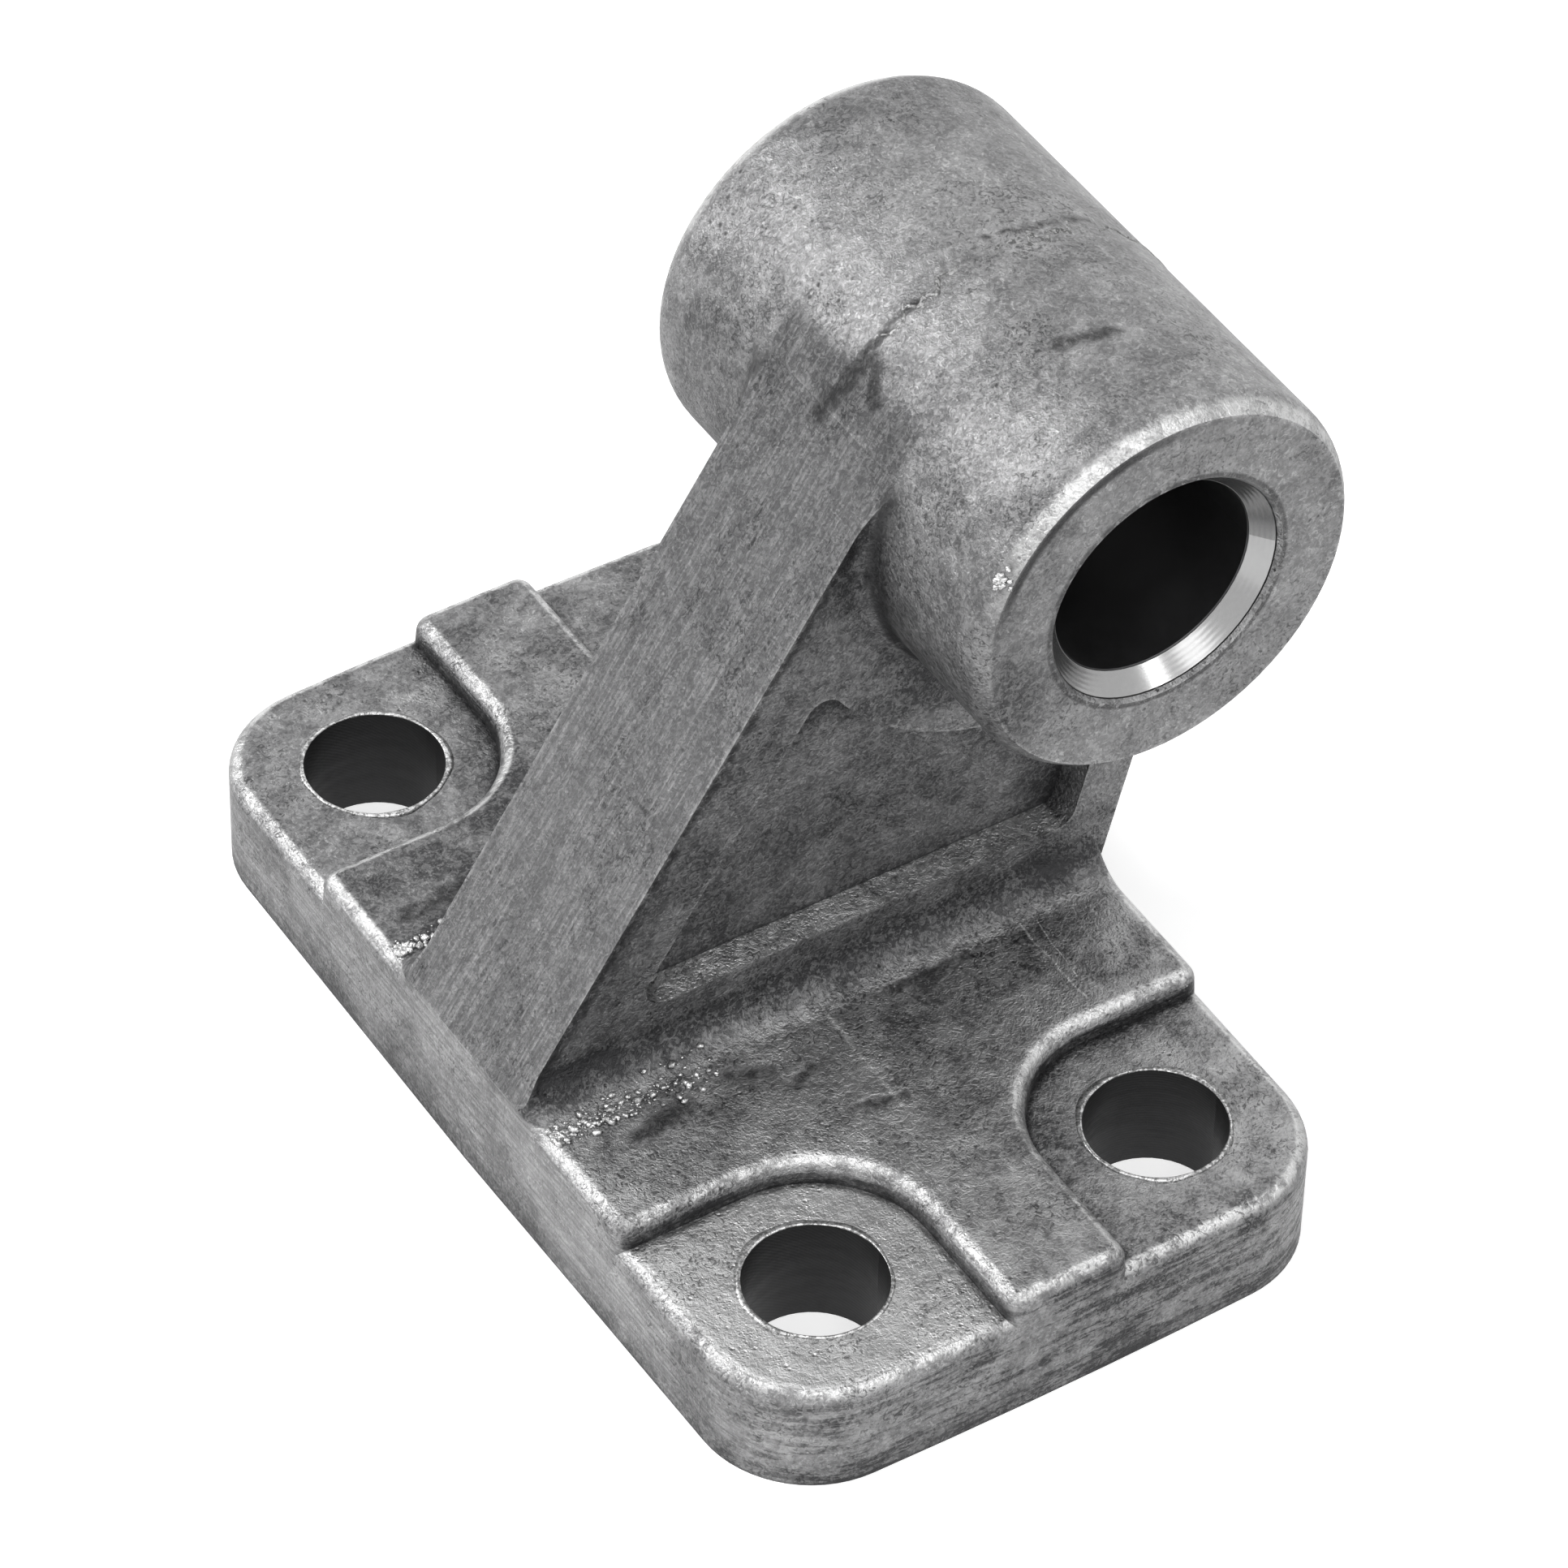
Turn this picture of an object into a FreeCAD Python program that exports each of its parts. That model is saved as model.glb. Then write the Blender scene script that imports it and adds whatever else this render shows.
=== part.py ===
"""Counter bracket for a 32 mm bore cylinder: one aluminium die casting with a machined underside,
a machined pivot bore and four drilled screw holes.

The origin is the centre of the four-hole pattern on the underside. Y is the pivot axis, X runs
from the foot of the sloping web towards the overhanging boss, and Z is up.

The casting is built as its die makes it. The parting plane is y = 0 and the two die halves are
pulled along -Y and +Y, so one half is modelled, mirrored across the parting plane, and then
machined."""

import FreeCAD, Part
import Sketcher
import math
import os

os.makedirs("parts", exist_ok=True)
doc = FreeCAD.newDocument("counter_bracket")

# Driving dimensions, in millimetres and degrees
SIZES = [
    ("hole_pitch_x", 18.0, "screw hole spacing across the foot"),
    ("hole_pitch_y", 38.0, "screw hole spacing along the foot"),
    ("hole_dia", 6.6, "screw hole diameter"),
    ("pivot_x", 12.0, "pivot axis ahead of the hole pattern centre"),
    ("pivot_z", 32.0, "pivot axis above the underside"),
    ("bore_dia", 10.0, "pivot bore diameter"),
    ("bore_lead", 1.0, "lead-in at each bore mouth, measured across the radius"),
    ("bore_lead_depth", 1.25, "lead-in at each bore mouth, measured along the bore"),
    ("boss_radius", 9.8, "outside radius of the pivot boss"),
    ("boss_half", 13.2, "half length of the pivot boss"),
    ("boss_round", 2.0, "rounding of the boss ends"),
    ("boss_turn", 45.0, "how far that rounding turns before the end face cuts it, in degrees"),
    ("foot_half_width", 15.6, "half width of the foot at the parting plane"),
    ("foot_half_length", 25.7, "half length of the foot at mid width"),
    ("foot_corner", 5.5, "plan radius of the foot corners"),
    ("foot_bow", 0.35, "outward bow of the short ends"),
    ("pad_height", 7.0, "underside to pad top"),
    ("seat_sink", 1.3, "screw seat below the pad top"),
    ("seat_radius", 5.8, "radius of the seat wall round each screw hole"),
    ("draft", 0.6, "die draft of the foot sides in degrees"),
    ("seat_draft", 6.0, "lean of the seat walls in degrees"),
    ("stock", 1.0, "machining stock under the cast foot"),
    ("web_half", 4.8, "half thickness of the web"),
    ("toe_rise", 0.3, "toe of the sloping face above the pad top"),
    ("web_gap", 0.08, "depth of the sloping face inside the boss tangent"),
    ("web_root", 2.1, "fillet between web and pad"),
    ("boss_root", 1.0, "fillet between web and boss"),
    ("recess_depth", 1.5, "depth of the recess in each web face"),
    ("recess_rim", 3.3, "rim between the sloping face and the recess"),
    ("recess_side", 2.5, "rim between the front edge and the recess"),
    ("recess_floor", 10.2, "height of the lower recess edge"),
    ("recess_arc", 13.6, "radius of the recess edge round the pivot"),
    ("recess_corner", 1.0, "corner radius of the recess outline"),
    ("recess_draft", 8.0, "lean of the recess walls in degrees"),
    ("cast_edge", 0.8, "rounding of the pad and seat edges"),
    ("web_spare", 3.0, "stock on the web blank outside its finished outline"),
    ("trim_over", 0.6, "how far a trimming cut runs past the web root fillet"),
]
sheet = doc.addObject("Spreadsheet::Sheet", "dims")
for row, (alias, value, words) in enumerate(SIZES, 1):
    sheet.set(f"A{row}", words)
    sheet.set(f"B{row}", str(value))
    sheet.setAlias(f"B{row}", alias)

# Lengths that follow from the sizes. The outline of the web leaves each side of the foot at the toe
# height and touches a circle round the pivot; the recess runs parallel to it.
FOLLOW = [
    ("seat_height", "pad_height - seat_sink", "underside to screw seat"),
    ("web_toe_z", "pad_height + toe_rise", "height where the outline of the web leaves the foot"),
    ("reach", "boss_radius - web_gap", "pivot to the lines of the web outline"),
    ("end_y", "foot_half_length - foot_bow", "middle of the foot to its corners, along it"),
    ("end_x", "foot_half_width - end_y * tan(draft * 1 deg)", "middle of the foot to its corners, across"),
    ("rise", "pivot_z - web_toe_z", "toe of the web up to the pivot"),
    ("far_out", "2 * foot_half_length", "a distance well outside the casting"),
    ("above", "pivot_z + 2 * reach", "a height well above the casting"),
]
for edge, plus, minus, inset in (("back", "+", "-", "recess_rim"), ("front", "-", "+", "recess_side")):
    FOLLOW += [
        (f"{edge}_run", f"pivot_x {plus} foot_half_width", "toe to the pivot, across"),
        (f"{edge}_away", f"sqrt({edge}_run ^ 2 + rise ^ 2)", "toe to the pivot"),
        (f"{edge}_lean", f"atan2(rise; {edge}_run) {plus} asin(reach / {edge}_away)", "slope of the outline"),
        (f"{edge}_long", f"sqrt({edge}_away ^ 2 - reach ^ 2)", "toe to the tangent point"),
        (f"{edge}_toe", f"0 {minus} foot_half_width", "place of the toe"),
        (f"{edge}_top_u", f"{edge}_toe + {edge}_long * cos({edge}_lean)", "tangent point, across"),
        (f"{edge}_top_v", f"web_toe_z + {edge}_long * sin({edge}_lean)", "tangent point, up"),
        (f"{edge}_out_u", f"({edge}_top_u - pivot_x) / reach", "outward direction, across"),
        (f"{edge}_out_v", f"({edge}_top_v - pivot_z) / reach", "outward direction, up"),
        (f"{edge}_low_u", f"{edge}_toe - {edge}_out_u * {inset}", "start of the recess line, across"),
        (f"{edge}_low_v", f"web_toe_z - {edge}_out_v * {inset}", "start of the recess line, up"),
        (f"{edge}_foot_u", f"{edge}_low_u - (recess_floor - {edge}_low_v) * {edge}_out_v / {edge}_out_u",
         "lower recess corner, across"),
        (f"{edge}_half", f"({edge}_low_v - pivot_z) * {edge}_out_u - ({edge}_low_u - pivot_x) * {edge}_out_v",
         "start of the recess line to its nearest point to the pivot"),
        (f"{edge}_rest", f"sqrt(recess_arc ^ 2 - (reach - {inset}) ^ 2)", "that point to the recess arc"),
        (f"{edge}_head_u", f"{edge}_low_u + ({edge}_half {minus} {edge}_rest) * {edge}_out_v",
         "upper recess corner, across"),
    ]
for row, (alias, formula, words) in enumerate(FOLLOW, len(SIZES) + 2):
    sheet.set(f"A{row}", words)
    sheet.set(f"B{row}", "=" + formula)
    sheet.setAlias(f"B{row}", alias)
    doc.recompute()


def dim(name):
    """The value of one named length or angle."""
    value = sheet.get(name)
    return float(getattr(value, "Value", value))


body = doc.addObject("PartDesign::Body", "bracket_casting")
body.Label = "bracket_casting"
LINE = Part.LineSegment
V = FreeCAD.Vector


def origin(role):
    """A plane or axis of the body's own origin."""
    return [item for item in body.Origin.OriginFeatures if item.Role == role][0]


def sketch_on(role, name, lift=None):
    """A sketch on one of the body's origin planes, raised along the plane normal by a formula."""
    item = body.newObject("Sketcher::SketchObject", name)
    item.AttachmentSupport = [(origin(role), "")]
    item.MapMode = "FlatFace"
    if lift:
        item.setExpression(".AttachmentOffset.Base.z", lift)
    return item


def loop(item, corners):
    """Closes a run of straight lines through the corners and joins their ends."""
    ends = corners[1:] + corners[:1]
    first = item.GeometryCount
    for start, stop in zip(corners, ends):
        item.addGeometry(LINE(V(*start, 0), V(*stop, 0)), False)
    count = len(corners)
    for i in range(count):
        item.addConstraint(Sketcher.Constraint("Coincident", first + i, 2, first + (i + 1) % count, 1))


def hold(item, name, kind, where, formula):
    """A named driving constraint bound to a formula over the driving dimensions."""
    value = item.evalExpression(formula)
    index = item.addConstraint(Sketcher.Constraint(kind, *where, float(getattr(value, "Value", value))))
    item.renameConstraint(index, name)
    item.setExpression(f"Constraints.{name}", formula)


def fixed_point(item, geo, pos, name, fx, fz):
    """Ties one point to the sketch origin by two signed distances, each a formula."""
    hold(item, name + "_u", "DistanceX", (-1, 1, geo, pos), fx)
    hold(item, name + "_v", "DistanceY", (-1, 1, geo, pos), fz)


def outline(item, corners):
    """Closes a run of straight lines; each corner is two formulas over the driving dimensions."""
    loop(item, [tuple(item.evalExpression(formula) for formula in corner) for corner in corners])
    for geo, (across, up) in enumerate(corners):
        fixed_point(item, geo, 1, f"corner_{geo}", across, up)


def level_lines(item, upright, level):
    """Holds some lines of a sketch upright and others level."""
    for geo in upright:
        item.addConstraint(Sketcher.Constraint("Vertical", geo))
    for geo in level:
        item.addConstraint(Sketcher.Constraint("Horizontal", geo))


def edges(test):
    """Names of the edges of the body's newest shape that pass a test on the edge."""
    shape = body.Tip.Shape
    return [f"Edge{i}" for i, edge in enumerate(shape.Edges, 1) if test(edge)]


def dress(kind, name, picked, **values):
    """A fillet or chamfer over the edges picked from the newest shape."""
    if not picked:
        raise RuntimeError(f"{name}: no edges found")
    base = body.Tip
    item = body.newObject(kind, name)
    item.Base = (base, picked)
    for key, formula in values.items():
        item.setExpression(key, formula)
    doc.recompute()
    settle(item)
    return item


def settle(item):
    """Stops the build when a feature failed or left a broken solid."""
    if "Invalid" in item.State or "Error" in item.State or not item.isValid():
        raise RuntimeError(f"{item.Name}: {item.State}")
    if not item.Shape.isValid() or not item.Shape.Solids:
        raise RuntimeError(f"{item.Name}: broken shape")
    body.Tip = item
    print(f"{item.Name}: {item.Shape.Volume:.1f} mm3, {len(item.Shape.Faces)} faces")


# How closely two places agree, and how far a draft or a curved end may move one
CLOSE = 0.02
LOOSE = 0.4


def near(value, target, room=CLOSE):
    """Whether two lengths agree."""
    return abs(value - target) < room


def flat(edge, axis, target, room=CLOSE):
    """Whether a whole edge lies at one height along an axis: 0 for X, 1 for Y, 2 for Z."""
    box = edge.BoundBox
    low = (box.XMin, box.YMin, box.ZMin)[axis]
    high = (box.XMax, box.YMax, box.ZMax)[axis]
    return near(low, target, room) and near(high, target, room)


# 1. Half of the foot, in plan: drafted sides, a slightly bowed end, stock left under the base
HALF_W = dim("foot_half_width")
END_Y = dim("end_y")
END_X = dim("end_x")
plan = sketch_on("XY_Plane", "foot_plan", "-dims.stock")
plan.addGeometry(LINE(V(-HALF_W, 0, 0), V(HALF_W, 0, 0)), False)
plan.addGeometry(LINE(V(HALF_W, 0, 0), V(END_X, -END_Y, 0)), False)
bow = Part.Arc(V(END_X, -END_Y, 0), V(0, -dim("foot_half_length"), 0), V(-END_X, -END_Y, 0))
plan.addGeometry(bow, False)
plan.addGeometry(LINE(V(-END_X, -END_Y, 0), V(-HALF_W, 0, 0)), False)
ARC_START, ARC_END = (1, 2) if plan.getPoint(2, 1).x > 0 else (2, 1)
for first, second in (((0, 2), (1, 1)), ((1, 2), (2, ARC_START)), ((2, ARC_END), (3, 1)), ((3, 2), (0, 1))):
    plan.addConstraint(Sketcher.Constraint("Coincident", *first, *second))
fixed_point(plan, 0, 1, "left", "-dims.foot_half_width", "0")
fixed_point(plan, 0, 2, "right", "dims.foot_half_width", "0")
fixed_point(plan, 1, 2, "end_right", "dims.end_x", "-dims.end_y")
fixed_point(plan, 3, 1, "end_left", "-dims.end_x", "-dims.end_y")
hold(plan, "bow_radius", "Radius", (2,), "(dims.end_x ^ 2 + dims.foot_bow ^ 2) / (2 * dims.foot_bow)")
foot = body.newObject("PartDesign::Pad", "foot")
foot.Profile = plan
foot.setExpression("Length", "dims.pad_height + dims.stock")
doc.recompute()
settle(foot)


def foot_post(edge):
    """An upright corner of the half foot, away from the parting plane."""
    return near(edge.BoundBox.ZLength, dim("pad_height") + dim("stock")) and edge.BoundBox.YMax < -HALF_W


dress("PartDesign::Fillet", "foot_corners", edges(foot_post), Radius="dims.foot_corner")

# 2. Screw seat, sunk below the pad round one screw hole, then its twin across the foot
HOLE_X = dim("hole_pitch_x") / 2
HOLE_Y = dim("hole_pitch_y") / 2
SEAT_R = dim("seat_radius")
FAR = dim("far_out")
seat_plan = sketch_on("XY_Plane", "seat_plan", "dims.seat_height")
IN_X = HOLE_X - SEAT_R
IN_Y = -HOLE_Y + SEAT_R
seat_plan.addGeometry(LINE(V(IN_X, -FAR, 0), V(IN_X, -HOLE_Y, 0)), False)
quarter = Part.ArcOfCircle(Part.Circle(V(HOLE_X, -HOLE_Y, 0), V(0, 0, 1), SEAT_R), math.pi / 2, math.pi)
seat_plan.addGeometry(quarter, False)
seat_plan.addGeometry(LINE(V(HOLE_X, IN_Y, 0), V(FAR, IN_Y, 0)), False)
seat_plan.addGeometry(LINE(V(FAR, IN_Y, 0), V(FAR, -FAR, 0)), False)
seat_plan.addGeometry(LINE(V(FAR, -FAR, 0), V(IN_X, -FAR, 0)), False)
for first, second in (((0, 2), (1, 2)), ((1, 1), (2, 1))):
    seat_plan.addConstraint(Sketcher.Constraint("Tangent", *first, *second))
for first, second in (((2, 2), (3, 1)), ((3, 2), (4, 1)), ((4, 2), (0, 1))):
    seat_plan.addConstraint(Sketcher.Constraint("Coincident", *first, *second))
level_lines(seat_plan, upright=(0, 3), level=(2, 4))
fixed_point(seat_plan, 1, 3, "hole", "dims.hole_pitch_x / 2", "-dims.hole_pitch_y / 2")
hold(seat_plan, "wall", "Radius", (1,), "dims.seat_radius")
fixed_point(seat_plan, 3, 2, "outer", "dims.far_out", "-dims.far_out")
seat = body.newObject("PartDesign::Pocket", "seat")
seat.Profile = seat_plan
seat.Reversed = True
seat.setExpression("Length", "dims.stock + dims.pad_height")
doc.recompute()
settle(seat)
twin = body.newObject("PartDesign::Mirrored", "seat_twin")
twin.Originals = [seat]
twin.MirrorPlane = (origin("YZ_Plane"), [""])
doc.recompute()
settle(twin)


def faces(test):
    """Names of the faces of the body's newest shape that pass a test on the face."""
    return [f"Face{i}" for i, face in enumerate(body.Tip.Shape.Faces, 1) if test(face)]


def levels(item):
    """The lowest and highest corner of a face or an edge."""
    heights = [corner.Z for corner in item.Vertexes]
    return min(heights), max(heights)


def seat_wall(face):
    """A face that runs from a seat up to the pad top."""
    low, high = levels(face)
    return near(low, dim("seat_height")) and near(high, dim("pad_height"))


def seat_floor(face):
    """The flat of a seat."""
    low, high = levels(face)
    return near(low, dim("seat_height")) and near(high, dim("seat_height"))


def open_out(name, walls, floor, angle, flip=False):
    """Leans walls outwards about the edge where they meet their floor, as the die needs."""
    base = body.Tip
    item = body.newObject("PartDesign::Draft", name)
    item.Base = (base, walls)
    item.NeutralPlane = (base, floor)
    item.Reversed = flip
    item.setExpression("Angle", angle)
    doc.recompute()
    settle(item)


open_out("seat_lean", faces(seat_wall), faces(seat_floor)[:1], "dims.seat_draft * 1 deg")

# 3. Web, drawn wider than its outline so that its root fillets run out past the foot, then trimmed
PIVOT = (dim("pivot_x"), dim("pivot_z"))


def outside(edge, end):
    """Two formulas for the toe or the tangent point of one outline edge, moved outwards."""
    across, up = f"dims.{edge}_top_u", f"dims.{edge}_top_v"
    if end == "toe":
        across, up = f"dims.{edge}_toe", "dims.web_toe_z"
    return f"{across} + dims.web_spare * dims.{edge}_out_u", f"{up} + dims.web_spare * dims.{edge}_out_v"


web_plan = sketch_on("XZ_Plane", "web_plan")
outline(web_plan, [
    ("-dims.foot_half_width - dims.web_spare", "dims.pad_height / 4"),
    ("dims.foot_half_width + dims.web_spare", "dims.pad_height / 4"),
    outside("front", "toe"),
    outside("front", "top"),
    ("dims.pivot_x", "dims.pivot_z"),
    outside("back", "top"),
    outside("back", "toe"),
])
web = body.newObject("PartDesign::Pad", "web")
web.Profile = web_plan
web.setExpression("Length", "dims.web_half")
doc.recompute()
settle(web)


# Root fillets where the web side stands on the pad
def on_web_side(edge):
    """Whether a whole edge lies in the side face of the web."""
    return flat(edge, 1, -dim("web_half"))


def root(edge):
    """The line where the web side meets the pad top."""
    return on_web_side(edge) and flat(edge, 2, dim("pad_height"))


dress("PartDesign::Fillet", "web_root", edges(root), Radius="dims.web_root")


def trim(name, plane, corners, length):
    """Cuts away everything inside a closed outline, from the parting plane or the underside inwards."""
    item = sketch_on(plane, name + "_plan")
    outline(item, corners)
    cut = body.newObject("PartDesign::Pocket", name)
    cut.Profile = item
    cut.Reversed = True
    cut.setExpression("Length", length)
    doc.recompute()
    settle(cut)


# Sloping face and front edge, trimmed across the web and its root fillets
ACROSS = "dims.web_half + dims.web_root + dims.trim_over"
HEAD = "dims.back_toe + (dims.above - dims.web_toe_z) * (dims.back_top_u - dims.back_toe)"
HEAD += " / (dims.back_top_v - dims.web_toe_z)"
trim("sloping_face", "XZ_Plane", [
    ("dims.back_toe", "dims.web_toe_z"),
    (HEAD, "dims.above"),
    ("-dims.far_out", "dims.above"),
    ("-dims.far_out", "dims.web_toe_z"),
], ACROSS)
trim("front_edge", "XZ_Plane", [
    ("dims.front_toe", "dims.web_toe_z"),
    ("dims.front_top_u", "dims.front_top_v"),
    ("dims.far_out", "dims.front_top_v"),
    ("dims.far_out", "dims.web_toe_z"),
], ACROSS)

# Sides of the foot, where the web blank stood out past them
for name, hand in (("side_back", "-"), ("side_front", "")):
    trim(name, "XY_Plane", [
        (f"{hand}dims.foot_half_width", "0"),
        (f"{hand}dims.end_x", "-dims.end_y"),
        (f"{hand}dims.far_out", "-dims.end_y"),
        (f"{hand}dims.far_out", "0"),
    ], "dims.web_toe_z")

# 4. Half of the pivot boss, turned about the pivot axis
R = dim("boss_radius")
HALF = dim("boss_half")
ROUND = dim("boss_round")
TURN = math.radians(dim("boss_turn"))
X0 = PIVOT[0]
CENTRE = V(X0 + R - ROUND, ROUND * math.sin(TURN) - HALF, 0)
RIM_X = CENTRE.x + ROUND * math.cos(TURN)
turn = sketch_on("XY_Plane", "boss_profile", "dims.pivot_z")
turn.addGeometry(LINE(V(X0, 0, 0), V(X0 + R, 0, 0)), False)
turn.addGeometry(LINE(V(X0 + R, 0, 0), V(X0 + R, CENTRE.y, 0)), False)
turn.addGeometry(Part.ArcOfCircle(Part.Circle(CENTRE, V(0, 0, 1), ROUND), -TURN, 0), False)
turn.addGeometry(LINE(V(RIM_X, -HALF, 0), V(X0, -HALF, 0)), False)
turn.addGeometry(LINE(V(X0, -HALF, 0), V(X0, 0, 0)), False)
for first, second in (((0, 2), (1, 1)), ((2, 1), (3, 1)), ((3, 2), (4, 1)), ((4, 2), (0, 1))):
    turn.addConstraint(Sketcher.Constraint("Coincident", *first, *second))
turn.addConstraint(Sketcher.Constraint("Tangent", 1, 2, 2, 2))
level_lines(turn, upright=(1, 4), level=(0, 3))
fixed_point(turn, 0, 1, "axis", "dims.pivot_x", "0")
hold(turn, "radius", "DistanceX", (0, 1, 0, 2), "dims.boss_radius")
hold(turn, "half", "DistanceY", (3, 2, 4, 2), "dims.boss_half")
hold(turn, "round", "Radius", (2,), "dims.boss_round")
hold(turn, "turn", "DistanceX", (2, 3, 3, 1), "dims.boss_round * cos(dims.boss_turn * 1 deg)")
boss = body.newObject("PartDesign::Revolution", "boss")
boss.Profile = turn
boss.ReferenceAxis = (turn, ["Edge5"])
boss.Angle = 360
doc.recompute()
settle(boss)


def boss_foot(edge):
    """The arc where the web side meets the boss."""
    return on_web_side(edge) and hasattr(edge.Curve, "Radius") and near(edge.Curve.Radius, R)


dress("PartDesign::Fillet", "boss_root", edges(boss_foot), Radius="dims.boss_root")


# 5. Recess in the web face: parallel to the sloping face and the front edge, round the boss
SIDE = -dim("web_half")
ARC = dim("recess_arc")


def lower(edge):
    """The lower corner of the recess beside one outline edge."""
    return V(dim(f"{edge}_foot_u"), dim("recess_floor"), 0)


def upper(edge):
    """The upper corner of the recess beside one outline edge, on the arc below the pivot."""
    across = dim(f"{edge}_head_u")
    return V(across, PIVOT[1] - math.sqrt(ARC ** 2 - (across - PIVOT[0]) ** 2), 0)


def bearing(spot):
    """The angle of a point seen from the pivot."""
    return math.atan2(spot.y - PIVOT[1], spot.x - PIVOT[0])


recess_plan = sketch_on("XZ_Plane", "recess_plan", "dims.web_half")
recess_plan.addGeometry(LINE(lower("back"), lower("front")), False)
recess_plan.addGeometry(LINE(lower("front"), upper("front")), False)
round_boss = Part.Circle(V(*PIVOT, 0), V(0, 0, 1), ARC)
recess_plan.addGeometry(Part.ArcOfCircle(round_boss, bearing(upper("back")), bearing(upper("front"))), False)
recess_plan.addGeometry(LINE(upper("back"), lower("back")), False)
for first, second in (((0, 2), (1, 1)), ((1, 2), (2, 2)), ((2, 1), (3, 1)), ((3, 2), (0, 1))):
    recess_plan.addConstraint(Sketcher.Constraint("Coincident", *first, *second))
fixed_point(recess_plan, 0, 1, "low_back", "dims.back_foot_u", "dims.recess_floor")
fixed_point(recess_plan, 0, 2, "low_front", "dims.front_foot_u", "dims.recess_floor")
fixed_point(recess_plan, 2, 3, "pivot", "dims.pivot_x", "dims.pivot_z")
hold(recess_plan, "arc", "Radius", (2,), "dims.recess_arc")
hold(recess_plan, "high_front", "DistanceX", (-1, 1, 1, 2), "dims.front_head_u")
hold(recess_plan, "high_back", "DistanceX", (-1, 1, 3, 1), "dims.back_head_u")
recess = body.newObject("PartDesign::Pocket", "recess")
recess.Profile = recess_plan
recess.setExpression("Length", "dims.recess_depth")
doc.recompute()
settle(recess)
FLOOR_Y = SIDE + dim("recess_depth")


def depths(item):
    """The least and greatest Y of the corners of a face or an edge."""
    places = [corner.Y for corner in item.Vertexes]
    return min(places), max(places)


def recess_wall(face):
    """A face that runs from the web side down to the floor of the recess."""
    low, high = depths(face)
    return near(low, SIDE) and near(high, FLOOR_Y)


def recess_floor(face):
    """The floor of the recess."""
    low, high = depths(face)
    return near(low, FLOOR_Y) and near(high, FLOOR_Y)


def web_side(face):
    """The side face of the web."""
    low, high = depths(face)
    return near(low, SIDE) and near(high, SIDE)


def recess_corner(edge):
    """An edge that runs straight down one corner of the recess."""
    low, high = depths(edge)
    return near(low, SIDE) and near(high, FLOOR_Y) and near(edge.Length, dim("recess_depth"), LOOSE)


dress("PartDesign::Fillet", "recess_corners", edges(recess_corner), Radius="dims.recess_corner")
open_out("recess_lean", faces(recess_wall), faces(web_side), "dims.recess_draft * 1 deg", True)


# 6. Edges of the cast half
def middle(edge):
    """The point half way along an edge."""
    return edge.valueAt((edge.FirstParameter + edge.LastParameter) / 2)


def pad_rim(edge):
    """The outline of the pad top, and the corners where a seat wall reaches the outline of the foot."""
    low, high = levels(edge)
    spot = middle(edge)
    if flat(edge, 2, dim("pad_height")):
        return spot.y < SIDE - dim("web_root") - CLOSE
    corner = near(high, dim("pad_height")) and near(low, dim("seat_height"))
    return corner and (abs(spot.x) > END_X - LOOSE or spot.y < LOOSE - END_Y)


def seat_outline(edge):
    """The outer edge of a seat, along the side, round the corner and along the end of the foot."""
    spot = middle(edge)
    round_x = max(abs(spot.x) - END_X + dim("foot_corner"), 0)
    round_y = max(-spot.y - END_Y + dim("foot_corner"), 0)
    return flat(edge, 2, dim("seat_height")) and math.hypot(round_x, round_y) > dim("foot_corner") - LOOSE


dress("PartDesign::Fillet", "cast_edges", edges(pad_rim) + edges(seat_outline), Radius="dims.cast_edge")

# 7. The whole casting: the second die half is the mirror image of the first
whole = body.newObject("PartDesign::Mirrored", "casting")
whole.MirrorPlane = (origin("XZ_Plane"), [""])
whole.TransformMode = "Whole shape"
doc.recompute()
settle(whole)

# 8. Machining: underside faced flat, pivot bore with a lead-in at each mouth, four screw holes
facing_plan = sketch_on("XY_Plane", "facing_plan")
outline(facing_plan, [
    ("-dims.far_out", "-dims.far_out"),
    ("dims.far_out", "-dims.far_out"),
    ("dims.far_out", "dims.far_out"),
    ("-dims.far_out", "dims.far_out"),
])
facing = body.newObject("PartDesign::Pocket", "facing")
facing.Profile = facing_plan
facing.setExpression("Length", "2 * dims.stock")
doc.recompute()
settle(facing)

bore_plan = sketch_on("XZ_Plane", "bore_plan")
bore_plan.addGeometry(Part.Circle(V(*PIVOT, 0), V(0, 0, 1), dim("bore_dia") / 2), False)
fixed_point(bore_plan, 0, 3, "pivot", "dims.pivot_x", "dims.pivot_z")
hold(bore_plan, "bore", "Radius", (0,), "dims.bore_dia / 2")
bore = body.newObject("PartDesign::Pocket", "bore")
bore.Profile = bore_plan
bore.SideType = "Symmetric"
bore.setExpression("Length", "4 * dims.boss_half")
doc.recompute()
settle(bore)
MOUTH = dim("boss_half")


def mouth(edge):
    """The circle where the bore meets one end of the boss."""
    return near(edge.Length, math.pi * dim("bore_dia")) and near(abs(middle(edge).y), MOUTH)


def lead_in(name, side):
    """A lead-in at one mouth, longer along the bore than across it."""
    rim = edges(lambda e: mouth(e) and middle(e).y * side > 0)
    item = dress("PartDesign::Chamfer", name, rim, Size="dims.bore_lead")
    item.ChamferType = "Two distances"
    item.FlipDirection = True
    item.setExpression("Size2", "dims.bore_lead_depth")
    doc.recompute()
    settle(item)


lead_in("near_lead", -1)
lead_in("far_lead", 1)

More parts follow.
